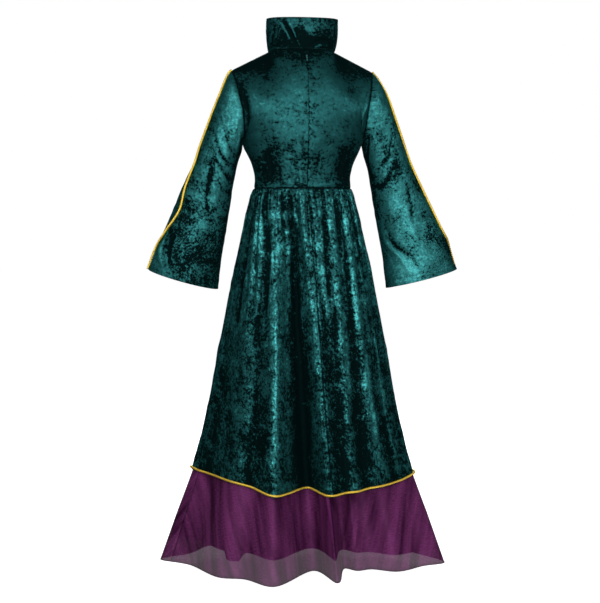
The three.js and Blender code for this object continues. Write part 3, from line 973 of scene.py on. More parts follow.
    def brush_folds(self, window: float, depth: float, share: float = 1.0) -> None:
        """Paint highlight on the folds' ridges and shade in their troughs.

        Args:
            window: Width that a ridge or trough is measured over.
            depth: Height that counts as a full ridge.
            share: How strong the painted light is.
        """
        points = self.shaped()
        facing = self.facing(points)
        high = np.zeros(self.columns.shape)
        for axis, lengths in ((1, self.wide), (0, self.long)):
            pitch = float(np.mean(np.abs(np.diff(lengths, axis=axis))))
            reach = max(int(round(window / pitch / 2)), 1)
            mean = running_mean(points, axis, reach)
            high += ((points - mean) * facing).sum(axis=-1) * (0.75 if axis == 1 else 0.25)
        # Painted highlight where the cloth stands out, and painted shade where it sinks.
        lay = np.tanh((high - np.median(high)) / depth)
        self.nap += share * np.where(lay > 0, 0.45 * lay, lay)

    def press(self, *patches: Patch) -> None:
        """Paint shade (amount below 0) or highlight in oval patches.

        Args:
            patches: The patches.
        """
        for patch in patches:
            across = (self.columns - patch.across) / patch.wide
            down = (self.rows - patch.down) / patch.long
            # Painted shade or painted highlight in each oval.
            self.nap += patch.amount * np.exp(-(across ** 2 + down ** 2))

    def build(self, finishes: Sequence[bpy.types.Material], thick: float, node: str,
              slot: Slot) -> bpy.types.Object:
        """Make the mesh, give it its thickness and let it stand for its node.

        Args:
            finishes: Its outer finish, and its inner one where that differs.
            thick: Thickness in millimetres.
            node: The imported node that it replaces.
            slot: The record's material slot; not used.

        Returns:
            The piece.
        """
        points = self.shaped()
        piece = grid_piece(self.name, points, self.out < 0, self.nap, self.tube)
        for finish in finishes:
            piece.data.materials.append(finish)
        thickness = piece.modifiers.new("thickness", "SOLIDIFY")
        thickness.thickness = thick * MM
        thickness.offset = -1.0
        thickness.material_offset = len(finishes) - 1
        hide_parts(node)
        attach(piece, Body.GARMENT.value)
        log.info("%s: %d points of cloth", self.name, points.shape[0] * points.shape[1])
        return piece


def running_mean(points: Array, axis: int, reach: int) -> Array:
    """Average points with their neighbours along one axis of their grid.

    Args:
        points: Rows and columns of points.
        axis: 0 to average down the rows, and 1 to average across the columns.
        reach: How many neighbours count on each side.

    Returns:
        The averages, in the shape of points.
    """
    count = points.shape[axis]
    index = np.arange(count)
    none = np.zeros_like(points.take([0], axis))
    sums = np.concatenate([none, np.cumsum(points, axis=axis)], axis=axis)
    high, low = np.minimum(index + reach + 1, count), np.maximum(index - reach, 0)
    shape = (1, -1, 1) if axis == 1 else (-1, 1, 1)
    return (sums.take(high, axis) - sums.take(low, axis)) / (high - low).reshape(shape)


def grid_piece(name: str, points: Array, turned: bool, nap: Array | None = None,
               tube: bool = False) -> bpy.types.Object:
    """Shape a bmesh grid to rows and columns of points, with its cut as a UV map in metres.

    Args:
        name: The piece's name.
        points: Rows and columns of points, in millimetres.
        turned: Whether the faces are turned over, so that they face out.
        nap: Painted shade (-1, dark) to painted highlight (1, bright) at each point.
        tube: Whether the cut is laid out along the line from the first row to the last.

    Returns:
        A smooth-shaded mesh object at the origin.
    """
    rows, columns = points.shape[:2]
    shape = bmesh.new()
    bmesh.ops.create_grid(shape, x_segments=columns - 1, y_segments=rows - 1, size=1.0)
    if turned:
        bmesh.ops.reverse_faces(shape, faces=shape.faces)
    mesh = mesh_of(name, shape)
    flat = np.empty(len(mesh.vertices) * 3, np.float32)
    mesh.vertices.foreach_get("co", flat)
    shares = (flat.reshape(-1, 3)[:, :2] + 1.0) / 2.0
    column = np.rint(shares[:, 0] * (columns - 1)).astype(int)
    row = np.rint(shares[:, 1] * (rows - 1)).astype(int)
    mesh.vertices.foreach_set("co", (points[row, column] * MM).astype(np.float32).ravel())
    wide, long = Panel.lengths(points)
    if tube:
        axis = unit(points[-1].mean(axis=0) - points[0].mean(axis=0))
        steps = np.diff(points, axis=1)
        steps -= (steps @ axis)[..., None] * axis
        wide[:, 1:] = np.cumsum(np.linalg.norm(steps, axis=-1), axis=1)
        long = points @ axis
    wide = wide - wide[:, -1:] / 2.0
    corners = np.empty(len(mesh.loops), np.int32)
    mesh.loops.foreach_get("vertex_index", corners)
    cut = np.stack([wide[row, column][corners], -long[row, column][corners]], axis=-1) * MM
    cut += np.random.default_rng(sum(map(ord, name))).uniform(-3.0, 3.0, 2)
    layer = mesh.uv_layers.new(name=Panel.CUT)
    layer.data.foreach_set("uv", cut.astype(np.float32).ravel())
    if nap is not None:
        # Painted shade and painted highlight at each point, kept as a mesh attribute for the velvet's
        # colour.
        pile = mesh.attributes.new(Panel.NAP, "FLOAT", "POINT")
        pile.data.foreach_set("value", nap[row, column].astype(np.float32))
    return smooth_piece(name, mesh)


class Side(Enum):
    """A side of the gown, the wearer's, with its sign along X."""

    LEFT = -1
    RIGHT = 1

    @property
    def word(self) -> str:
        """The side's name in node names."""
        return self.name.lower()


@dataclass
class Bodice:
    """The bodice: two backs, closed by a zip, and a front, with darts and sewn seams.

    Each level of its easing is a step along the top edge and a weight: together they round off the
    corner where the neck seam meets the shoulder seam, in the cloth below it.
    """

    neck_half: float = 90.0
    neck_back: float = 63.0
    neck_front: float = 91.0
    neck_drop: float = 95.0
    shoulder_y: float = 5.0
    shoulder_tip: tuple[float, float, float] = (197.0, 0.0, -54.0)
    armpit_up: float = 0.5
    seam_split: float = 0.5
    square: float = 0.85
    thick: float = 1.6
    easing: tuple[Level, ...] = (
        Level(-1.0, 0.1), Level(-0.6, 0.2), Level(-0.2, 0.2), Level(0.2, 0.2), Level(0.6, 0.2),
        Level(1.0, 0.1),
    )
    bust: dict[str, float] = field(default_factory=lambda: dict(x=84, z=-236, out=22, wide=42, tall=50))
    back_rows: tuple[BodiceRow, ...] = (
        BodiceRow(0.0, -88, -381, 135.5, 0, -381, 90),
        BodiceRow(0.12, -87, -350, 133, 0, -347, 90),
        BodiceRow(0.25, -92, -312, 141, 0, -312, 90),
        BodiceRow(0.38, -100, -272, 155, 0, -284, 90),
        BodiceRow(0.5, -108, -232, 167, 0, -256, 90),
        BodiceRow(0.62, -114, -180, 168, -44, -222, 75),
        BodiceRow(0.74, -112, -128, 173, -62, -175, 66),
        BodiceRow(0.86, -97, -72, 184, -50, -118, 62),
        BodiceRow(0.94, -78, -32, 192, -24, -78, 62),
        BodiceRow(1.0, -58, 0, 197, 0, -54, 62),
    )
    front_rows: tuple[BodiceRow, ...] = (
        BodiceRow(0.0, 100, -381, 135.5, 0, -381, 90),
        BodiceRow(0.12, 103, -350, 133, 0, -347, 90),
        BodiceRow(0.25, 112, -315, 141, 0, -312, 90),
        BodiceRow(0.38, 122, -280, 155, 0, -284, 90),
        BodiceRow(0.5, 127, -245, 167, 0, -256, 90),
        BodiceRow(0.62, 126, -210, 164, 38, -222, 75),
        BodiceRow(0.74, 119, -175, 166, 52, -175, 66),
        BodiceRow(0.86, 110, -140, 177, 44, -118, 62),
        BodiceRow(0.94, 103, -115, 189, 22, -78, 62),
        BodiceRow(1.0, 96, -95, 197, 0, -54, 62),
    )

    back_seams: tuple[Groove, ...] = (
        Groove(Edge.FIRST_COLUMN, 0.5, 2.2), Groove(Edge.LAST_COLUMN, 0.8, 3.0),
        Groove(Edge.FIRST_ROW, 1.6, 4.0), Groove(Edge.LAST_ROW, 1.0, 3.0),
    )
    front_seams: tuple[Groove, ...] = (
        Groove(Edge.FIRST_COLUMN, 1.2, 3.5), Groove(Edge.LAST_COLUMN, 1.2, 3.5),
        Groove(Edge.FIRST_ROW, 1.6, 4.0), Groove(Edge.LAST_ROW, 1.0, 3.0),
    )
    back_dart: tuple[Crease, ...] = (
        Crease(-2.0, 3.5, ((0.52, 0.0), (0.5, 0.2), (0.47, 0.42))),
        Crease(-5.0, 24.0, ((0.52, -0.1), (0.5, 0.2), (0.47, 0.46))),
    )
    front_darts: tuple[Crease, ...] = (
        Crease(-1.8, 3.5, ((-0.48, 0.0), (-0.5, 0.18), (-0.52, 0.36))),
        Crease(-1.8, 3.5, ((0.48, 0.0), (0.5, 0.18), (0.52, 0.36))),
    )
    # Armhole folds, with painted shade along the troughs and painted highlight on the ridge.
    armhole_folds: dict[str, tuple[Crease, ...]] = field(default_factory=lambda: dict(
        left=(Crease(-6.0, 9.0, ((1.0, 0.93), (0.93, 0.8), (0.9, 0.66), (0.95, 0.55)), -1.3),),
        right=(
            Crease(3.0, 4.0, ((0.97, 0.82), (0.86, 0.7), (0.86, 0.58), (0.95, 0.5)), 1.0),
            Crease(-1.8, 3.0, ((0.97, 0.62), (0.86, 0.67), (0.8, 0.72)), -1.2),
            Crease(-1.8, 3.0, ((0.97, 0.56), (0.86, 0.62), (0.8, 0.68)), -1.2),
            Crease(-1.8, 3.0, ((0.97, 0.52), (0.86, 0.56), (0.8, 0.6)), -1.2),
        ),
    ))
    # Painted light: the upper back lighter, the shoulder tops and the lower flanks darker.
    back_patches: tuple[Patch, ...] = (
        Patch(0.35, 0.70, 0.9, 0.22, 0.35), Patch(0.45, 1.02, 0.9, 0.11, -1.2),
        Patch(0.66, 0.2, 0.30, 0.27, -1.25),
    )
    # Painted shade on the front's lower flanks and at its shoulder tops.
    front_patches: tuple[Patch, ...] = (
        Patch(-0.55, 0.2, 0.25, 0.24, -1.3), Patch(-0.6, 0.97, 0.3, 0.1, -1.4),
        Patch(0.55, 0.2, 0.25, 0.24, -1.3), Patch(0.6, 0.97, 0.3, 0.1, -1.4),
    )

    def neckline(self, turn: Array) -> Array:
        """Give the neck seam.

        Args:
            turn: Degrees from the centre back towards the wearer's right.

        Returns:
            Points in millimetres.
        """
        angle = np.radians(turn)
        fore = np.cos(angle)
        reach = np.where(fore >= 0, self.neck_back, self.neck_front)
        drop = -self.neck_drop * np.maximum(-fore, 0.0) ** 1.3
        return np.stack([self.neck_half * np.sin(angle), self.shoulder_y - reach * fore, drop], axis=-1)

    def half(self, table: Sequence[BodiceRow], neck_turn: Callable[[Array], Array]) -> Surface:
        """Make one half of a panel, from its centre line to its side.

        Args:
            table: The panel's levels.
            neck_turn: Degrees round the neck by share of the panel's part of the neck seam.

        Returns:
            A surface by share round the panel and share up it.
        """
        read = {name: Curve(table, "up", name) for name in BodiceRow._fields[1:]}
        tip = np.array(self.shoulder_tip)
        shoulder = np.array([self.neck_half, self.shoulder_y, 0.0])

        def top(round_: Array) -> Array:
            """Follow the top edge: neck seam, then shoulder seam.

            Args:
                round_: Share round the panel.

            Returns:
                Points in millimetres.
            """
            neck = self.neckline(neck_turn(np.minimum(round_ / self.seam_split, 1.0)))
            share = np.clip((round_ - self.seam_split) / (1.0 - self.seam_split), 0.0, 1.0)
            slope = shoulder + (tip - shoulder) * share[..., None]
            return np.where((round_ <= self.seam_split)[..., None], neck, slope)

        def section(round_: Array, up: Array) -> Array:
            """Give a level's curve.

            Args:
                round_: Share round the panel.
                up: Share up the panel.

            Returns:
                Points in millimetres.
            """
            arc = np.radians(np.minimum(read["arc"](up), 90.0))
            end = np.maximum(np.cos(arc), 0.0) ** self.square
            share = (np.maximum(np.cos(arc * round_), 0.0) ** self.square - end) / (1.0 - end)
            side_y, side_z = read["side_y"](up), read["side_z"](up)
            return np.stack([
                read["side_x"](up) * np.sin(arc * round_) / np.sin(arc),
                side_y + (read["centre_y"](up) - side_y) * share,
                read["centre_z"](up) + (side_z - read["centre_z"](up)) * round_ ** 2,
            ], axis=-1)

        def surface(round_: Array, up: Array) -> Array:
            """Give the panel, its top blended to the neck and shoulder.

            Args:
                round_: Share round the panel.
                up: Share up the panel.

            Returns:
                Points in millimetres.
            """
            blend = smooth_rise(up, 0.6, 1.0) ** 2
            reach = np.minimum(0.9 * (1.0 - up), 0.2) * np.sin(np.pi * round_)
            near = sum(tap.value * top(round_ + tap.at * reach) for tap in self.easing)
            return section(round_, up) + (near - section(round_, np.ones_like(up))) * blend[..., None]

        return surface

    def back_half(self) -> Surface:
        """Make the right back, from the centre back to the side."""
        return self.half(self.back_rows, lambda share: share * 90.0)

    def front_half(self) -> Surface:
        """Make the right half of the front, without bust shaping."""
        return self.half(self.front_rows, lambda share: 180.0 - share * 90.0)

    def back(self, side: Side) -> Surface:
        """Make one back, mirrored onto its side."""
        half = self.back_half()
        return lambda round_, up: half(round_, up) * np.array([side.value, 1.0, 1.0])

    def front(self) -> Surface:
        """Make the whole front, with bust shaping.

        Returns:
            A surface by share from the left side (-1) to the right (1) and share up.
        """
        half = self.front_half()

        def surface(round_: Array, up: Array) -> Array:
            """Give the front with its bust.

            Args:
                round_: Share from the left side to the right.
                up: Share up the panel.

            Returns:
                Points in millimetres.
            """
            points = half(np.abs(round_), up)
            across = (points[..., 0] - self.bust["x"]) / self.bust["wide"]
            down = (points[..., 2] - self.bust["z"]) / self.bust["tall"]
            swell = self.bust["out"] * np.exp(-across ** 2 - down ** 2)
            points[..., 1] += swell * (1.0 - smooth_rise(np.abs(round_), 0.75, 1.0))
            points[..., 0] *= np.where(round_ < 0, -1.0, 1.0)
            return points

        return surface

    def build(self, wardrobe: Wardrobe) -> None:
        """Sew the backs and the front.

        Args:
            wardrobe: The gown's finishes.
        """
        finishes = (wardrobe.velvet, wardrobe.backing)
        for side in Side:
            node = "bodice_back_" + side.word
            panel = Panel(node + "_cloth", self.back(side), eased(0, 1, 79), eased(0, 1, 105),
                          side.value)
            self.shape_back(panel, side)
            piece = panel.build(finishes, self.thick, node, Slot.VELVET)
        panel = Panel("bodice_front_cloth", self.front(), eased(-1, 1, 121), eased(0, 1, 91), -1)
        self.shape_front(panel)
        piece = panel.build(finishes, self.thick, "bodice_front", Slot.VELVET)

    def shape_back(self, panel: Panel, side: Side) -> None:
        """Sink the seams and the waist dart of a back, and crumple it.

        Args:
            panel: The back.
            side: Whose armhole folds it has.
        """
        panel.sink(self.back_seams)
        panel.fold(self.back_dart)
        panel.crumple(20 + side.value, 1.5, 46.0, 60.0)
        panel.crumple(30 + side.value, 0.55, 11.0, 16.0, 8.0)
        panel.brush_folds(50.0, 2.5)
        panel.press(*self.back_patches)
        panel.fold(self.armhole_folds[side.word])

    def shape_front(self, panel: Panel) -> None:
        """Sink the seams and two waist darts of the front, and crumple it.

        Args:
            panel: The front.
        """
        panel.sink(self.front_seams)
        panel.fold(self.front_darts)
        panel.crumple(24, 1.5, 46.0, 60.0)
        panel.crumple(34, 0.55, 11.0, 16.0, 8.0)
        panel.brush_folds(50.0, 2.5)
        panel.press(*self.front_patches)


@dataclass
class Collar:
    """The stand-up collar, open in a V at the front."""

    bodice: Bodice
    height: float = 88.0
    thick: float = 2.4
    end: float = 178.5
    flare: tuple[Level, ...] = (
        Level(0, 0), Level(0.08, 3.2), Level(0.25, 6.5), Level(0.5, 10), Level(1, 10.5),
    )
    # Creases, with painted highlight along the ridges and painted shade along the troughs.
    creases: tuple[Crease, ...] = (
        Crease(2.2, 3.0, ((-8.0, 0.06), (-20.0, 0.5), (-31.0, 0.92)), 0.9),
        Crease(-3.0, 4.0, ((-13.0, 0.06), (-26.0, 0.5), (-38.0, 0.9)), -1.6),
        Crease(2.2, 3.0, ((-19.0, 0.1), (-33.0, 0.5), (-45.0, 0.86)), 0.9),
        Crease(2.6, 3.0, ((14.0, 0.06), (26.0, 0.16), (44.0, 0.16)), 1.1),
        Crease(-2.6, 4.0, ((10.0, 0.16), (26.0, 0.30), (46.0, 0.30)), -1.6),
        Crease(-1.6, 5.0, ((-72.0, 0.1), (-60.0, 0.5), (-58.0, 0.9))),
        Crease(1.5, 6.0, ((60.0, 0.15), (52.0, 0.5), (56.0, 0.9))),
        Crease(-1.8, 6.0, ((110.0, 0.1), (118.0, 0.5), (128.0, 0.85))),
        Crease(-1.8, 6.0, ((-112.0, 0.2), (-120.0, 0.5), (-138.0, 0.8))),
    )
    # Painted shade across the collar's lower part and painted highlights near its top.
    patches: tuple[Patch, ...] = (
        Patch(0.0, 0.28, 70.0, 0.34, -0.9), Patch(-30.0, 0.85, 30.0, 0.16, 0.5),
        Patch(6.0, 0.62, 7.0, 0.1, 1.6),
    )

    def surface(self, turn: Array, up: Array) -> Array:
        """Give the collar, open in a V at the front.

        Args:
            turn: Degrees round the neck seam from the centre back.
            up: Share of its height.

        Returns:
            Points in millimetres.
        """
        foot = self.bodice.neckline(turn)
        step = 0.5
        run = self.bodice.neckline(turn + step) - self.bodice.neckline(turn - step)
        out = outward(run)
        lean = Curve(self.flare, "at", "value")(up) + 6.0 * smooth_rise(np.abs(turn), 100.0, 170.0) * up
        foot = foot + out * lean[..., None]
        foot[..., 0] += np.sign(turn) * smooth_rise(np.abs(turn), 120.0, 178.0) * 40.0 * up
        dip = 3.0 * np.maximum(np.cos(np.radians(turn)), 0.0) ** 2
        taper = 1.0 - 0.16 * smooth_rise(np.abs(turn), 95.0, 175.0)
        foot[..., 2] += -1.6 + (self.height * taper + 2.0 - dip) * up
        return foot

    def build(self, wardrobe: Wardrobe) -> None:
        """Sew the collar.

        Args:
            wardrobe: The gown's finishes.
        """
        across = np.linspace(-self.end, self.end, 221)
        panel = Panel("collar_cloth", self.surface, across, np.linspace(0, 1, 41), 1)
        panel.sink((Groove(Edge.FIRST_ROW, 1.0, 3.0),))
        panel.fold(self.creases)
        panel.crumple(41, 1.3, 34.0, 30.0, 10.0)
        panel.crumple(42, 0.5, 10.0, 13.0, 6.0)
        panel.brush_folds(26.0, 1.2)
        # Painted shade over the whole collar.
        panel.nap -= 0.3
        panel.press(*self.patches)
        piece = panel.build((wardrobe.velvet,), self.thick, "collar", Slot.VELVET)
        Stitching().sew("collar_foot_stitches", panel.shaped()[2, 1:-1], panel.normals[2, 1:-1],
                        wardrobe)


@dataclass
class Sleeves:
    """Two bell sleeves, each a back and a front half, with a cord down the outer seam."""

    bodice: Bodice
    seam_gap: float = 0.4
    rings: tuple[SleeveRow, ...] = (
        SleeveRow(0.06, 209, 214, -72, 170, 170, -268, 62, 0),
        SleeveRow(0.14, 228, 237, -118, 173, 173, -285, 60, 1),
        SleeveRow(0.23, 249, 258, -170, 179, 180, -305, 57, 3),
        SleeveRow(0.32, 269, 277, -222, 186, 188, -332, 56, 5),
        SleeveRow(0.43, 297, 302, -293, 194, 196, -375, 57, 8),
        SleeveRow(0.56, 331, 337, -366, 202, 205, -425, 60, 11),
        SleeveRow(0.7, 361, 374, -438, 211, 216, -482, 64, 14),
        SleeveRow(0.84, 392, 412, -512, 222, 229, -548, 69, 17),
        SleeveRow(0.92, 412, 432, -558, 229, 237, -602, 72, 19),
        SleeveRow(1.0, 429, 449, -605, 235, 244, -658, 75, 20),
    )
    seams: tuple[SeamRow, ...] = (
        SeamRow(0.0, 0, 0),
        SeamRow(0.08, 0, -7),
        SeamRow(0.18, 0, 18),
        SeamRow(0.33, 4, 20),
        SeamRow(0.39, 8, 9),
        SeamRow(0.45, 20, 20),
        SeamRow(0.58, 28, 21),
        SeamRow(0.7, 38, 22),
        SeamRow(0.82, 20, 20),
        SeamRow(0.9, 0, -4),
        SeamRow(1.0, 0, -10),
    )
    cut: dict[str, float] = field(default_factory=lambda: dict(left=0.099, right=0.111))
    sewn: tuple[Groove, ...] = (
        Groove(Edge.FIRST_COLUMN, 0.5, 3.0), Groove(Edge.LAST_COLUMN, 1.0, 3.5),
        Groove(Edge.FIRST_ROW, 1.4, 4.0),
    )
    hem_turn: float = 18.0
    hem_dip: dict[str, float] = field(default_factory=lambda: dict(
        sleeve_back_left=9.0, sleeve_back_right=2.0, sleeve_front_left=3.0, sleeve_front_right=13.0))
    # Creases, with painted shade along the troughs and painted highlight along the ridges.
    creases: dict[str, tuple[Crease, ...]] = field(default_factory=lambda: {
        "sleeve_back_left": (
            Crease(-4.0, 7.0, ((0.36, 0.40), (0.38, 0.53), (0.42, 0.68)), -1.3),
            Crease(-3.0, 4.5, ((0.10, 0.30), (0.45, 0.34), (0.85, 0.30)), -0.9),
            Crease(-3.0, 5.0, ((0.30, 0.38), (0.62, 0.42), (0.95, 0.37)), -0.9),
            Crease(-2.5, 4.0, ((0.48, 0.47), (0.72, 0.50), (0.98, 0.45)), -0.9),
            Crease(-2.5, 4.0, ((0.20, 0.22), (0.50, 0.26), (0.80, 0.25)), -0.7),
            Crease(3.0, 5.0, ((0.74, 0.02), (0.70, 0.12), (0.72, 0.22)), 0.7),
            Crease(-5.0, 7.0, ((0.86, 0.02), (0.82, 0.12), (0.86, 0.26)), -1.8),
            Crease(5.0, 7.0, ((0.02, 0.80), (0.14, 0.90), (0.26, 0.97)), 1.2),
            Crease(-4.0, 6.0, ((0.16, 0.82), (0.28, 0.90), (0.38, 0.97)), -1.2),
        ),
        "sleeve_back_right": (
            Crease(-3.5, 4.0, ((0.86, 0.02), (0.84, 0.20), (0.84, 0.40)), -1.4),
            Crease(3.0, 6.0, ((0.88, 0.72), (0.78, 0.85), (0.64, 0.99)), 0.7),
            Crease(-3.0, 5.0, ((0.80, 0.70), (0.69, 0.84), (0.55, 0.99)), -1.0),
            Crease(-3.0, 5.0, ((0.20, 0.28), (0.45, 0.34), (0.75, 0.32)), -0.8),
            Crease(-3.0, 5.0, ((0.35, 0.40), (0.60, 0.45), (0.90, 0.42)), -0.8),
            Crease(-3.0, 6.0, ((0.30, 0.50), (0.34, 0.64), (0.46, 0.78)), -0.8),
            Crease(3.0, 6.0, ((0.42, 0.62), (0.46, 0.76), (0.42, 0.92)), 0.5),
        ),
        "sleeve_front_left": (
            Crease(-3.5, 6.0, ((0.20, 0.34), (0.50, 0.40), (0.85, 0.37)), -0.9),
            Crease(-3.0, 5.0, ((0.35, 0.44), (0.62, 0.49), (0.95, 0.46)), -0.9),
            Crease(-4.0, 8.0, ((0.45, 0.55), (0.40, 0.74), (0.46, 0.94)), -1.0),
            Crease(-4.0, 6.0, ((0.84, 0.03), (0.80, 0.16), (0.84, 0.32)), -1.3),
        ),
        "sleeve_front_right": (
            Crease(-3.5, 6.0, ((0.25, 0.32), (0.52, 0.39), (0.88, 0.35)), -0.9),
            Crease(-3.0, 5.0, ((0.30, 0.43), (0.58, 0.50), (0.92, 0.47)), -0.9),
            Crease(-4.0, 8.0, ((0.58, 0.58), (0.52, 0.76), (0.60, 0.95)), -1.0),
            Crease(-4.0, 6.0, ((0.86, 0.03), (0.82, 0.18), (0.85, 0.34)), -1.3),
        ),
    })
    # Painted shade and painted highlight in ovals on each sleeve half.
    patches: dict[str, tuple[Patch, ...]] = field(default_factory=lambda: {
        "sleeve_back_left": (
            Patch(0.95, 0.55, 0.16, 0.60, -1.0), Patch(0.50, 0.87, 0.55, 0.20, -1.0),
            Patch(0.42, 0.77, 0.14, 0.05, 0.9), Patch(0.10, 0.94, 0.16, 0.05, 1.6),
            Patch(0.30, 0.12, 0.40, 0.14, 0.5),
        ),
        "sleeve_back_right": (
            Patch(0.98, 0.22, 0.20, 0.34, -1.4), Patch(0.40, 0.60, 0.35, 0.40, 0.25),
            Patch(0.38, 0.42, 0.14, 0.06, -0.9), Patch(0.10, 0.90, 0.16, 0.08, -1.5),
            Patch(0.75, 0.94, 0.14, 0.07, 0.7),
        ),
        "sleeve_front_left": (
            Patch(0.95, 0.50, 0.16, 0.60, -1.0), Patch(0.50, 0.88, 0.40, 0.16, -0.5),
        ),
        "sleeve_front_right": (
            Patch(0.95, 0.50, 0.16, 0.60, -1.0), Patch(0.45, 0.84, 0.40, 0.18, -0.5),
        ),
    })

    def surface(self, side: Side) -> Surface:
        """Make a sleeve's surface.

        Args:
            side: Which sleeve.

        Returns:
            A surface by degrees round the sleeve, 0 outside and 90 at the back, and share down.
        """
        back, front = self.bodice.back_half(), self.bodice.front_half()
        keys = np.array([0.0] + [ring.down for ring in self.rings])

        def armhole(turn: Array) -> Array:
            """Follow the armhole of the bodice.

            Args:
                turn: Degrees round the sleeve.

            Returns:
                Points in millimetres.
            """
            up = 1.0 - (1.0 - self.bodice.armpit_up) * np.abs(turn) / 180.0
            ends = np.ones_like(up)
            return np.where((turn >= 0)[..., None], back(ends, up), front(ends, up))

        def ring(row: SleeveRow, turn: Array) -> Array:
            """Give one ring.

            Args:
                row: Its sizes.
                turn: Degrees round the sleeve.

            Returns:
                Points in millimetres, as if the sleeve were the right one.
            """
            outer_x = row.left if side is Side.LEFT else row.right
            under_x = row.under_left if side is Side.LEFT else row.under_right
            share = (1.0 + np.cos(np.radians(turn))) / 2.0
            x = under_x + (outer_x - under_x) * share
            z = row.under_z + (row.outer_z - row.under_z) * share
            return np.stack([x, row.y - row.deep * np.sin(np.radians(turn)), z], axis=-1)

        def surface(turn: Array, down: Array) -> Array:
            """Give the sleeve's points.

            Args:
                turn: Degrees round the sleeve.
                down: Share down the sleeve.

            Returns:
                Points in millimetres.
            """
            turn = (turn + 180.0) % 360.0 - 180.0
            first = armhole(turn) + np.array([self.seam_gap, 0.0, 0.0])
            stations = np.stack([first] + [ring(row, turn) for row in self.rings])
            axes = [hermite(keys, stations[..., axis], down) for axis in range(3)]
            return np.stack([axes[0] * side.value, axes[1], axes[2]], axis=-1)

        return surface

    def half(self, node: str, side: Side, end: float) -> Surface:
        """Make half a sleeve, from its outer seam to its underarm seam.

        Args:
            node: The half's node.
            side: Which sleeve.
            end: Degrees round the sleeve of the underarm seam.

        Returns:
            A surface by share across and share down.
        """
        whole = self.surface(side)
        seam = Curve(self.seams, "down", side.word)

        def surface(across: Array, down: Array) -> Array:
            """Give the half's points.

            Args:
                across: Share from the outer seam to the underarm seam.
                down: Share down the sleeve.

            Returns:
                Points in millimetres.
            """
            start = seam(down)
            points = whole(start + (end - start) * across, down)
            dip = self.hem_dip[node] * np.sin(np.pi * across)
            points[..., 2] -= dip * smooth_rise(down, 0.7, 1.0)
            return points

        return surface

    def build(self, wardrobe: Wardrobe) -> None:
        """Sew both sleeves and lay their cords.

        Args:
            wardrobe: The gown's finishes.
        """
        for side in Side:
            seam: Panel | None = None
            for part, end, out in (("back", 180.0, side.value), ("front", -180.0, -side.value)):
                node = f"sleeve_{part}_{side.word}"
                panel = Panel(node + "_cloth", self.half(node, side, end), eased(0, 1, 69),
                              eased(0, 1, 145), out)
                panel.tube = True
                self.shape(panel, 50 + 2 * side.value + (part == "front"))
                seam = seam or panel
                finishes = (wardrobe.sleeve_velvet, wardrobe.backing)
                piece = panel.build(finishes, Bodice.thick, node, Slot.VELVET)
                above_hem = panel.away_from(Edge.LAST_ROW)[:, len(panel.across) // 2]
                row = int(np.argmin(np.abs(above_hem - self.hem_turn)))
                Stitching().sew(node + "_hem_stitches", panel.shaped()[row, 1:-1],
                                panel.normals[row, 1:-1], wardrobe)
            TwistedCord().build("sleeve_cord_" + side.word, seam.shaped()[2:-1, 0],
                                seam.normals[2:-1, 0], False, wardrobe)

    def shape(self, panel: Panel, seed: int) -> None:
        """Sink a half's seams, pucker its hem and crumple it.

        Args:
            panel: The half.
            seed: Seed of its ripples.
        """
        panel.sink(self.sewn)
        hem = np.exp(-((panel.away_from(Edge.LAST_ROW) - self.hem_turn) / 3.0) ** 2)
        pucker = Ripple(seed)(panel.wide / 9.0, np.zeros_like(panel.wide))
        panel.relief -= hem * (0.6 + 0.5 * pucker)
        panel.crumple(seed + 100, 2.6, 60.0, 85.0, 22.0)
        panel.crumple(seed + 200, 0.65, 11.0, 15.0, 8.0)
        node = panel.name.removesuffix("_cloth")
        panel.fold(self.creases[node])
        panel.brush_folds(60.0, 3.5)
        panel.press(*self.patches[node])


class Layer(Enum):
    """A layer of the skirt, from the outside in."""

    VELVET = 0
    ORGANZA = 1
    LINING = 2


class Cut(NamedTuple):
    """A panel of a skirt: its reach in degrees, its grid, and its flat size in metres."""

    node: str
    layer: Layer
    start: float
    end: float
    columns: int
    rows: int
    flat: tuple[float, float]
    area: float


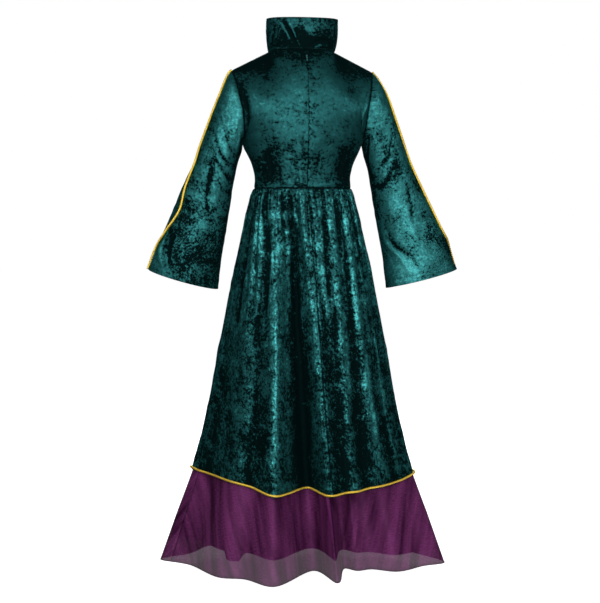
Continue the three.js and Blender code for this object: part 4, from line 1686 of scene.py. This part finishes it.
@dataclass
class Skirts:
    """The gathered velvet overskirt, the organza skirt and the shorter lining."""

    waist_z: float = -381.0
    hem_z: float = -1429.0
    waist_half: float = 135.5
    waist_back: float = 88.0
    waist_front: float = 100.0
    square: float = 0.85
    gathers: int = 32
    small_gathers: int = 74
    sheer: float = 1.0
    flare: tuple[Level, ...] = (
        Level(-381, 0), Level(-417, 0.036), Level(-462, 0.08), Level(-557, 0.165), Level(-688, 0.276),
        Level(-824, 0.384), Level(-1024, 0.533), Level(-1170, 0.683), Level(-1429, 1),
    )
    folds: tuple[FoldRow, ...] = (
        FoldRow(-99, -396, 80, -390, 77, -1170),
        FoldRow(-80, -316, -10, -326, -20, -1175),
        FoldRow(-67, -258, -160, -258, -152, -1182),
        FoldRow(-55, -188, -198, -188, -204, -1192),
        FoldRow(-39, -118, -290, -118, -290, -1207),
        FoldRow(-22, 10, -128, 7, -146, -1203),
        FoldRow(-5, 50, -279, 50, -279, -1210),
        FoldRow(12, 97, -118, 108, -238, -1209),
        FoldRow(23, 130, -148, 144, -236, -1207),
        FoldRow(32, 172, -136, 182, -204, -1204),
        FoldRow(44, 236, -174, 236, -190, -1200),
        FoldRow(60, 317, -122, 320, -128, -1193),
        FoldRow(81, 392, -78, 384, -74, -1178),
        FoldRow(100, 325, 66, 333, 69, -1182),
        FoldRow(118, 262, 190, 262, 190, -1196),
        FoldRow(134, 172, 185, 177, 191, -1202),
        FoldRow(150, 105, 302, 105, 302, -1210),
        FoldRow(168, 20, 225, 20, 233, -1208),
        FoldRow(188, -72, 308, -72, 308, -1211),
        FoldRow(206, -148, 205, -152, 211, -1203),
        FoldRow(224, -240, 235, -240, 235, -1196),
        FoldRow(243, -308, 140, -319, 146, -1180),
    )
    gather_height: tuple[Level, ...] = (
        Level(-381, 0.6), Level(-400, 3.4), Level(-450, 5.5), Level(-520, 3.6), Level(-620, 1.4),
        Level(-700, 0),
    )
    organza_inset: tuple[Level, ...] = (
        Level(-381, 6), Level(-400, 12), Level(-600, 20), Level(-760, 14), Level(-900, 9),
        Level(-1170, 9), Level(-1290, 3), Level(-1429, 0),
    )
    lining_inset: tuple[Level, ...] = (Level(-381, 1.4), Level(-430, 3), Level(-1429, 4))
    # Creases, with painted shade down the valleys and painted highlight along the ridges.
    creases: dict[str, tuple[Crease, ...]] = field(default_factory=lambda: {
        "overskirt_back_left": (
            Crease(-17.0, 8.0, ((-18.5, -375.0), (-20.0, -480.0), (-21.5, -620.0), (-22.0, -800.0)), -2.2),
            Crease(0.0, 9.0, ((-21.5, -560.0), (-22.0, -760.0), (-22.0, -1000.0), (-22.0, -1170.0)), -2.0),
            Crease(5.0, 9.0, ((-40.0, -440.0), (-39.0, -640.0), (-39.0, -900.0)), 0.6),
            Crease(-8.0, 8.0, ((-50.0, -378.0), (-49.0, -500.0), (-49.0, -720.0)), -1.6),
            Crease(6.0, 8.0, ((-59.0, -410.0), (-58.0, -540.0), (-59.0, -760.0)), 0.6),
            Crease(-7.0, 8.0, ((-73.0, -390.0), (-74.0, -520.0), (-76.0, -760.0)), -1.6),
            Crease(-5.0, 5.0, ((-30.0, -378.0), (-30.5, -440.0), (-31.0, -520.0)), -1.2),
            Crease(-4.0, 4.0, ((-66.0, -378.0), (-66.0, -430.0), (-67.0, -480.0)), -1.2),
        ),
        "overskirt_back_right": (
            Crease(-8.0, 6.0, ((18.0, -378.0), (17.0, -460.0), (15.0, -560.0), (13.0, -700.0)), -1.6),
            Crease(4.0, 9.0, ((25.0, -430.0), (24.0, -620.0), (24.0, -860.0)), 0.5),
            Crease(-5.0, 6.0, ((33.0, -378.0), (33.0, -460.0), (32.0, -560.0)), -1.3),
            Crease(-5.0, 7.0, ((39.0, -520.0), (38.0, -620.0), (36.0, -760.0)), -1.3),
            Crease(5.0, 9.0, ((45.0, -440.0), (44.0, -700.0), (44.0, -1000.0)), 0.6),
            Crease(-5.0, 6.0, ((57.0, -378.0), (58.0, -480.0), (59.0, -640.0)), -1.2),
            Crease(-3.0, 4.0, ((8.0, -378.0), (8.0, -420.0), (8.0, -470.0)), -1.0),
        ),
    })
    # Painted highlight streaks along the lower ridges.
    patches: dict[str, tuple[Patch, ...]] = field(default_factory=lambda: {
        "overskirt_back_left": (
            Patch(-59.0, -930.0, 2.6, 120.0, 0.9), Patch(-39.0, -960.0, 2.4, 200.0, 0.7),
            Patch(-31.0, -760.0, 1.8, 110.0, 0.6), Patch(-75.0, -700.0, 3.0, 220.0, 0.4),
        ),
        "overskirt_back_right": (
            Patch(59.0, -960.0, 2.4, 190.0, 1.0), Patch(46.0, -940.0, 2.2, 150.0, 0.9),
            Patch(8.0, -640.0, 7.0, 90.0, 0.4), Patch(27.0, -900.0, 2.0, 120.0, 0.6),
        ),
    })
    cuts: tuple[Cut, ...] = (
        Cut("overskirt_back_left", Layer.VELVET, -90.0, 0.0, 161, 191, (0.48, 0.83), 0.301),
        Cut("overskirt_back_right", Layer.VELVET, 0.0, 90.0, 161, 191, (0.42, 0.83), 0.226),
        Cut("overskirt_front", Layer.VELVET, 90.0, 270.0, 201, 131, (0.90, 0.83), 0.523),
        Cut("organza_back", Layer.ORGANZA, -90.0, 90.0, 151, 101, (1.05, 1.06), 0.789),
        Cut("organza_front", Layer.ORGANZA, 90.0, 270.0, 121, 81, (1.0, 1.06), 0.739),
        Cut("lining_back", Layer.LINING, -90.0, 90.0, 121, 71, (1.0, 0.99), 0.689),
        Cut("lining_front", Layer.LINING, 90.0, 270.0, 81, 61, (0.95, 0.99), 0.652),
    )
    sewn: tuple[Groove, ...] = (
        Groove(Edge.FIRST_ROW, 1.2, 4.0), Groove(Edge.FIRST_COLUMN, 1.0, 3.0),
        Groove(Edge.LAST_COLUMN, 1.0, 3.0),
    )
    velvet_level: float = -1010.0
    velvet_hem: float = -1190.0
    under_level: float = -1290.0
    lining_hem_row: float = -1360.0
    even_pile: tuple[float, float] = (-760.0, -560.0)

    def waistline(self, turn: Array) -> Array:
        """Give the waist's oval.

        Args:
            turn: Degrees from the centre back.

        Returns:
            Places in x and y, in millimetres.
        """
        angle = np.radians(turn)
        fore = np.cos(angle)
        reach = np.where(fore >= 0, -self.waist_back, self.waist_front)
        return np.stack([self.waist_half * np.sin(angle), reach * np.abs(fore) ** self.square], axis=-1)

    def form(self, layer: Layer) -> Surface:
        """Make a layer's folds, from the waist's oval to the hem's outline.

        Args:
            layer: Which layer.

        Returns:
            A surface by degrees and height.
        """
        prefix = "velvet_" if layer is Layer.VELVET else ""
        hem_x = Curve(self.folds, "waist", prefix + "x", 360.0)
        hem_y = Curve(self.folds, "waist", prefix + "y", 360.0)
        opening = Curve(self.flare, "at", "value")

        def surface(turn: Array, z: Array) -> Array:
            """Give the folds' points.

            Args:
                turn: Degrees from the centre back.
                z: Heights.

            Returns:
                Points in millimetres.
            """
            waist = self.waistline(turn)
            hem = np.stack([hem_x(turn), hem_y(turn)], axis=-1)
            plan = waist + (hem - waist) * opening(z)[..., None]
            return np.concatenate([plan, z[..., None]], axis=-1)

        return surface

    def surface(self, layer: Layer) -> Surface:
        """Make a layer, with its hem, its place among the others and its gathers.

        Args:
            layer: Which layer.

        Returns:
            A surface by degrees and row, a row being a height but for the dip of the hem.
        """
        form = self.form(layer)
        hem_of = {
            Layer.VELVET: Curve(self.folds, "waist", "hem", 360.0),
            Layer.ORGANZA: lambda turn: np.full_like(turn, self.hem_z),
            Layer.LINING: self.lining_hem,
        }[layer]
        level = self.velvet_level if layer is Layer.VELVET else self.under_level
        last = self.last_row(layer)
        organza_in, lining_in = straight(self.organza_inset), straight(self.lining_inset)

        def lift(turn: Array, z: Array) -> Array:
            """Give how far the layer lies outside its folds.

            Args:
                turn: Degrees from the centre back.
                z: Heights.

            Returns:
                Distances in millimetres.
            """
            if layer is Layer.VELVET:
                return self.gather_lift(turn, z)
            if layer is Layer.ORGANZA:
                return -organza_in(z)
            return -organza_in(z) - lining_in(z)

        def surface(turn: Array, row: Array) -> Array:
            """Give the layer's points.

            Args:
                turn: Degrees from the centre back.
                row: Rows of the layer.

            Returns:
                Points in millimetres.
            """
            low = level + (row - level) * (hem_of(turn) - level) / (last - level)
            z = np.where(row > level, row, low)
            step = 0.5
            run = form(turn + step, z) - form(turn - step, z)
            return form(turn, z) + outward(run) * lift(turn, z)[..., None]

        return surface

    def last_row(self, layer: Layer) -> float:
        """Give the row at a layer's hem.

        Args:
            layer: Which layer.

        Returns:
            The row, a height in millimetres.
        """
        return {
            Layer.VELVET: self.velvet_hem,
            Layer.ORGANZA: self.hem_z,
            Layer.LINING: self.lining_hem_row,
        }[layer]

    def lining_hem(self, turn: Array) -> Array:
        """Give the lining's hem, lower on the wearer's right and where one fold of it hangs out.

        Args:
            turn: Degrees from the centre back.

        Returns:
            Heights in millimetres.
        """
        fold = smooth_rise(turn, -66.0, -64.0) * (1.0 - smooth_rise(turn, -58.0, -56.5))
        return -1375.0 - 16.0 * np.sin(np.radians(turn)) - 24.0 * fold

    def gather_lift(self, turn: Array, z: Array) -> Array:
        """Give the gathers' height: irregular tubes that open into the folds below.

        Args:
            turn: Degrees from the centre back.
            z: Heights.

        Returns:
            Distances outside the skirt's folds, in millimetres.
        """
        noise = Ripple(61)
        down = z - self.waist_z
        drift = 75.0 * np.sin(np.radians(7 * turn + 20)) + 60.0 * np.sin(np.radians(11 * turn))
        tube = np.abs(np.cos(np.radians((self.gathers * turn + drift) / 2.0))) ** 0.8
        uneven = 1.0 + 0.7 * noise(turn / 8.0 + 40.0, down / 300.0)
        large = 1.25 * straight(self.gather_height)(z) * tube * uneven
        stray = 70.0 * np.sin(np.radians(9 * turn + 50))
        small = 0.5 + 0.5 * np.cos(np.radians(self.small_gathers * turn + stray))
        low = smooth_rise(-z, 430.0, 600.0) * (1.0 - 0.6 * smooth_rise(-z, 1080.0, 1190.0))
        folds = 2.6 * noise(turn / 6.0 + 10.0, down / 330.0) + noise(turn / 2.4, down / 90.0 + 30.0)
        return large + 2.2 * small * np.exp(-(down / 60.0) ** 2) + folds * low

    def build(self, wardrobe: Wardrobe) -> None:
        """Sew the three layers, and lay the cord and the organza's rolled hem.

        Args:
            wardrobe: The gown's finishes.
        """
        line, out = self.round_line(self.sew_layer(Layer.VELVET, wardrobe), -2)
        TwistedCord().build("overskirt_cord", line, out, True, wardrobe)
        line, out = self.round_line(self.sew_layer(Layer.ORGANZA, wardrobe), -1)
        self.sew_layer(Layer.LINING, wardrobe)
        roll = TwistedCord(radius=0.4, lift=0.0, strand=0.9, offset=0.0, step=4.0, sides=6, strands=1)
        sew_on(roll.twist("organza_rolled_hem", line, out, True), wardrobe.rolled, Slot.ORGANZA)

    def sew_layer(self, layer: Layer, wardrobe: Wardrobe) -> list[Panel]:
        """Sew the panels of one layer.

        Args:
            layer: Which layer.
            wardrobe: The gown's finishes.

        Returns:
            The panels, in their order round the skirt.
        """
        panels: list[Panel] = []
        for cut in self.cuts:
            if cut.layer is not layer:
                continue
            panel = Panel(cut.node + "_cloth", self.surface(layer),
                          np.linspace(cut.start, cut.end, cut.columns),
                          np.linspace(self.waist_z, self.last_row(layer), cut.rows), -1)
            if layer is Layer.VELVET:
                self.shape(panel, cut.node, len(panels))
            self.sew(panel, cut, wardrobe)
            panels.append(panel)
        return panels

    def shape(self, panel: Panel, node: str, number: int) -> None:
        """Sink a velvet panel's seams, crease and crumple it and paint its shade and highlights.

        Args:
            panel: The panel.
            node: Its node.
            number: Its place round the skirt.
        """
        panel.sink(self.sewn)
        panel.fold(self.creases.get(node, ()))
        panel.crumple(70 + number, 1.1, 24.0, 46.0, 12.0)
        panel.crumple(80 + number, 0.6, 11.0, 19.0, 8.0)
        panel.brush_folds(60.0, 5.0)
        panel.brush_folds(20.0, 1.4, 0.35)
        # Painted light is clipped, softened higher up the skirt and lifted a little there.
        upper = smooth_rise(panel.rows, *self.even_pile)
        panel.nap = np.clip(panel.nap, -1.3, 0.35) * (1.0 - 0.4 * upper) + 0.05 * upper
        panel.press(*self.patches.get(node, ()))

    def sew(self, panel: Panel, cut: Cut, wardrobe: Wardrobe) -> None:
        """Sew in one panel.

        Args:
            panel: The panel.
            cut: Its layer, node and flat size.
            wardrobe: The gown's finishes.
        """
        if cut.layer is Layer.VELVET:
            finishes = (wardrobe.skirt_velvet, wardrobe.backing)
            piece = panel.build(finishes, Bodice.thick, cut.node, Slot.VELVET)
            return
        finish, slot = {
            Layer.ORGANZA: (wardrobe.organza, Slot.ORGANZA),
            Layer.LINING: (wardrobe.lining, Slot.LINING),
        }[cut.layer]
        piece = panel.build((finish,), self.sheer, cut.node, slot)

    @staticmethod
    def round_line(panels: Sequence[Panel], row: int) -> tuple[Array, Array]:
        """Join one row of the panels that follow each other round the skirt.

        Args:
            panels: The panels, in order.
            row: Which row.

        Returns:
            Its points, and the way that the cloth faces at each.
        """
        line = np.concatenate([panel.shaped()[row, :-1] for panel in panels])
        out = np.concatenate([panel.normals[row, :-1] for panel in panels])
        return line, out


@dataclass
class TwistedCord:
    """A cord of three strands, twisted, sewn onto cloth."""

    radius: float = 3.1
    lift: float = 0.1
    strand: float = 1.7
    offset: float = 1.5
    pitch: float = 19.0
    step: float = 1.8
    sides: int = 5
    strands: int = 3

    def build(self, node: str, line: Array, out: Array, closed: bool, wardrobe: Wardrobe) -> None:
        """Lay a gold cord on the cloth.

        Args:
            node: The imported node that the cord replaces.
            line: Points of the cloth under the cord, in millimetres.
            out: The way that the cloth faces at each point.
            closed: Whether the cord meets its own start.
            wardrobe: The gown's finishes.
        """
        piece = self.twist(node + "_rope", line, out, closed)
        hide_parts(node)
        sew_on(piece, wardrobe.gold, Slot.GOLD_CORD)

    def twist(self, name: str, line: Array, out: Array, closed: bool) -> bpy.types.Object:
        """Twist the strands along a line.

        Args:
            name: The piece's name.
            line: Points of the cloth under them, in millimetres.
            out: The way that the cloth faces at each point.
            closed: Whether they meet their own start.

        Returns:
            The piece, without a finish.
        """
        if closed:
            line = np.concatenate([line, line[:1]])
            out = np.concatenate([out, out[:1]])
        line = line + unit(out) * (self.radius + self.lift)
        gone = length_along(line)
        count = int(round(gone[-1] / self.step))
        turns = round(gone[-1] / self.pitch)
        places = np.linspace(0.0, gone[-1], count + 1)
        centre = along_line(places, gone, line)
        away = unit(along_line(places, gone, out))
        run = unit(np.gradient(centre, axis=0))
        across = unit(np.cross(away, run))
        away = np.cross(run, across)
        tubes: list[Array] = []
        for k in range(self.strands):
            angle = 2 * np.pi * (turns * places / gone[-1] + k / self.strands)
            radial = away * np.cos(angle)[:, None] + across * np.sin(angle)[:, None]
            middle = centre + self.offset * radial
            ahead = unit(np.gradient(middle, axis=0))
            side = unit(np.cross(ahead, radial))
            ring = np.linspace(0.0, 2 * np.pi, self.sides + 1)
            spoke = radial[:, None] * np.cos(ring)[None, :, None]
            spoke = spoke + side[:, None] * np.sin(ring)[None, :, None]
            tubes.append(middle[:, None] + self.strand * spoke)
        log.info("%s: %.0f mm long", name, gone[-1])
        return joined_tubes(name, tubes)


@dataclass
class Stitching:
    """A row of straight stitches on the cloth's face."""

    pitch: float = 3.2
    long: float = 2.3
    thick: float = 0.5
    lift: float = 0.15

    def sew(self, name: str, line: Array, out: Array, wardrobe: Wardrobe) -> None:
        """Sew a row.

        Args:
            name: The piece's name.
            line: Points of the cloth along the row, in millimetres.
            out: The way that the cloth faces at each point.
            wardrobe: The gown's finishes.
        """
        gone = length_along(line)
        places = np.arange(self.pitch / 2, gone[-1], self.pitch)
        spots = along_line(places, gone, line)
        ups = unit(along_line(places, gone, out))
        ways = unit(np.gradient(spots, axis=0))
        shape = bmesh.new()
        for spot, up, way in zip(spots + ups * self.lift, ups, ways):
            turn = np.eye(4)
            turn[:3, 0] = way * self.long / 2 * MM
            turn[:3, 1] = np.cross(up, way) * self.thick / 2 * MM
            turn[:3, 2] = up * self.thick / 2 * MM
            turn[:3, 3] = spot * MM
            bmesh.ops.create_icosphere(shape, subdivisions=1, radius=1.0,
                                       matrix=Matrix(turn.tolist()))
        sew_on(smooth_piece(name, mesh_of(name, shape)), wardrobe.thread, Slot.VELVET)
        log.info("%s: %d stitches", name, len(places))


def joined_tubes(name: str, tubes: Sequence[Array]) -> bpy.types.Object:
    """Make one piece of several tubes, each closed round and capped at its ends.

    Args:
        name: The piece's name.
        tubes: Rings by points, the last point of each ring on its first.

    Returns:
        The piece.
    """
    parts = [grid_piece(f"{name}_{k}", tube, False) for k, tube in enumerate(tubes)]
    shape = bmesh.new()
    for part in parts:
        shape.from_mesh(part.data)
        mesh = part.data
        bpy.data.objects.remove(part)
        bpy.data.meshes.remove(mesh)
    bmesh.ops.remove_doubles(shape, verts=shape.verts, dist=0.00002)
    rims = [edge for edge in shape.edges if edge.is_boundary]
    bmesh.ops.holes_fill(shape, edges=rims, sides=0)
    bmesh.ops.recalc_face_normals(shape, faces=shape.faces)
    return smooth_piece(name, mesh_of(name, shape))


@dataclass
class Zip:
    """The centre-back zip: its coil and tape inside the seam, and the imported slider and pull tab."""

    bodice: Bodice
    skirts: Skirts
    nodes: tuple[str, str] = ("zip_slider", "zip_pull")
    end_z: float = -490.0
    tape_deep: float = 4.2
    tape_wide: float = 24.0
    tape_thick: float = 0.5
    coil_deep: float = 5.6

    def seam_line(self, deep: float) -> Array:
        """Follow the centre back inside the cloth, from the neck to the zip's end.

        Args:
            deep: How far inside the cloth's face, in millimetres.

        Returns:
            Points in millimetres.
        """
        up = np.linspace(0.985, 0.0, 60)
        bodice = self.bodice.back(Side.RIGHT)(np.zeros_like(up), up)
        low = np.linspace(Skirts.waist_z - 4.0, self.end_z, 16)
        skirt = self.skirts.surface(Layer.VELVET)(np.zeros_like(low), low)
        line = np.concatenate([bodice, skirt])
        run = unit(np.gradient(line, axis=0))
        inward = unit(np.cross(run, np.array([1.0, 0.0, 0.0])))
        inward *= np.sign(inward[..., 1:2])
        return line + inward * deep

    def build(self, wardrobe: Wardrobe) -> None:
        """Sew in the zip and enamel its metal parts.

        Args:
            wardrobe: The gown's finishes.
        """
        for name in self.nodes:
            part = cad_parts[name]
            part.data.materials.clear()
            part.data.materials.append(wardrobe.zip)
            log.info("%s: enamelled", name)
        middle = self.seam_line(self.tape_deep)

        def tape(across: Array, down: Array) -> Array:
            """Give the tape's points.

            Args:
                across: Millimetres from the tape's middle.
                down: Which point of the seam line.

            Returns:
                Points in millimetres.
            """
            rows = np.clip(np.rint(down).astype(int), 0, len(middle) - 1)
            points = middle[rows].copy()
            points[..., 0] += across
            return points

        half = self.tape_wide / 2
        panel = Panel("zip_tape_cloth", tape, np.linspace(-half, half, 9),
                      np.arange(len(middle), dtype=float), 1)
        piece = grid_piece(panel.name, panel.shaped(), False)
        thickness = piece.modifiers.new("thickness", "SOLIDIFY")
        thickness.thickness = self.tape_thick * MM
        sew_on(piece, wardrobe.backing, Slot.ZIP)
        log.info("%s: sewn in", piece.name)
        line = self.seam_line(self.coil_deep)
        out = np.tile(np.array([0.0, -1.0, 0.0]), (len(line), 1))
        coil = TwistedCord(radius=0.0, lift=0.0, strand=0.42, offset=1.1, pitch=1.6, step=0.27, sides=4,
                           strands=1)
        sew_on(coil.twist("zip_coil", line, out, False), wardrobe.zip, Slot.ZIP)


class Lamp(NamedTuple):
    """A soft box: where it hangs and what it faces, its width and height, in metres, and watts."""

    name: str
    place: tuple[float, float, float]
    target: tuple[float, float, float]
    size: tuple[float, float]
    power: float


@dataclass
class Studio:
    """The floor, the lights and the camera."""

    azimuth: float = -9.0
    distance: float = 4.1
    aside: float = -0.007
    camera_z: float = -0.4956
    target_z: float = -0.696
    lens: float = 87.4
    sensor: float = 36.0
    floor_z: float = -1.46
    floor_size: float = 30.0
    world_light: float = 0.05
    lamps: tuple[Lamp, ...] = (
        Lamp("high", (-0.15, -2.3, 0.85), (0.0, 0.0, -0.15), (2.6, 1.0), 22.0),
        Lamp("high_left", (-2.1, -1.7, 0.7), (0.0, 0.0, -0.2), (1.3, 1.0), 24.0),
        Lamp("high_right", (2.1, -1.7, 0.7), (0.0, 0.0, -0.2), (1.3, 1.0), 24.0),
        Lamp("front", (-0.4, -3.9, -0.7), (0.0, 0.0, -0.6), (3.0, 0.8), 112.0),
        Lamp("room", (0.6, 3.6, 0.9), (0.0, 0.0, -0.5), (2.0, 1.4), 85.0),
    )

    def build(self) -> None:
        """Set up the studio."""
        self.lay_floor()
        self.light_world()
        for lamp in self.lamps:
            self.hang(lamp)
        self.place_camera()

    def lay_floor(self) -> None:
        """Lay a plain pale floor under the hem."""
        shape = bmesh.new()
        bmesh.ops.create_grid(shape, x_segments=1, y_segments=1, size=self.floor_size)
        bmesh.ops.translate(shape, verts=shape.verts, vec=(0.0, 0.0, self.floor_z))
        floor = placed("floor", mesh_of("floor", shape))
        floor.visible_diffuse = floor.visible_glossy = False
        floor.data.materials.append(PaleFloor().material())

    def light_world(self) -> None:
        """Make the surroundings white to look at, and softer as a light."""
        world = bpy.data.worlds.new("studio")
        bpy.context.scene.world = world
        world.use_nodes = True
        nodes, links = world.node_tree.nodes, world.node_tree.links
        background = nodes["Background"]
        background.inputs["Color"].default_value = (1.0, 1.0, 1.0, 1.0)
        path = nodes.new("ShaderNodeLightPath")
        strength = nodes.new("ShaderNodeMapRange")
        strength.inputs["To Min"].default_value = self.world_light
        strength.inputs["To Max"].default_value = 1.0
        links.new(path.outputs["Is Camera Ray"], strength.inputs["Value"])
        links.new(strength.outputs["Result"], background.inputs["Strength"])

    @staticmethod
    def hang(lamp: Lamp) -> None:
        """Hang a soft box.

        Args:
            lamp: Which one.
        """
        data = bpy.data.lights.new(lamp.name, "AREA")
        data.shape = "RECTANGLE"
        data.size, data.size_y = lamp.size
        data.energy = lamp.power
        light = placed(lamp.name, data)
        light.location = lamp.place
        way = Vector(lamp.target) - Vector(lamp.place)
        light.rotation_euler = way.to_track_quat("-Z", "Y").to_euler()

    def place_camera(self) -> None:
        """Place the camera where the photograph was taken from."""
        angle = math.radians(self.azimuth)
        right = Vector((math.cos(angle), math.sin(angle), 0.0))
        away = Vector((-math.sin(angle), math.cos(angle), 0.0))
        data = bpy.data.cameras.new("camera")
        data.lens, data.sensor_width = self.lens, self.sensor
        camera = placed("camera", data)
        camera.location = right * self.aside - away * self.distance + Vector((0, 0, self.camera_z))
        target = right * self.aside + Vector((0, 0, self.target_z))
        camera.rotation_euler = (target - camera.location).to_track_quat("-Z", "Y").to_euler()
        bpy.context.scene.camera = camera
        bpy.context.scene.view_settings.view_transform = "Standard"


def main() -> None:
    """Build the gown in its studio."""
    logging.basicConfig(level=logging.INFO, format="%(name)s: %(message)s")
    Studio().build()
    wardrobe = Wardrobe.make()
    bodice = Bodice()
    bodice.build(wardrobe)
    Collar(bodice).build(wardrobe)
    Sleeves(bodice).build(wardrobe)
    skirts = Skirts()
    skirts.build(wardrobe)
    Zip(bodice, skirts).build(wardrobe)


if __name__ == "__main__":
    main()
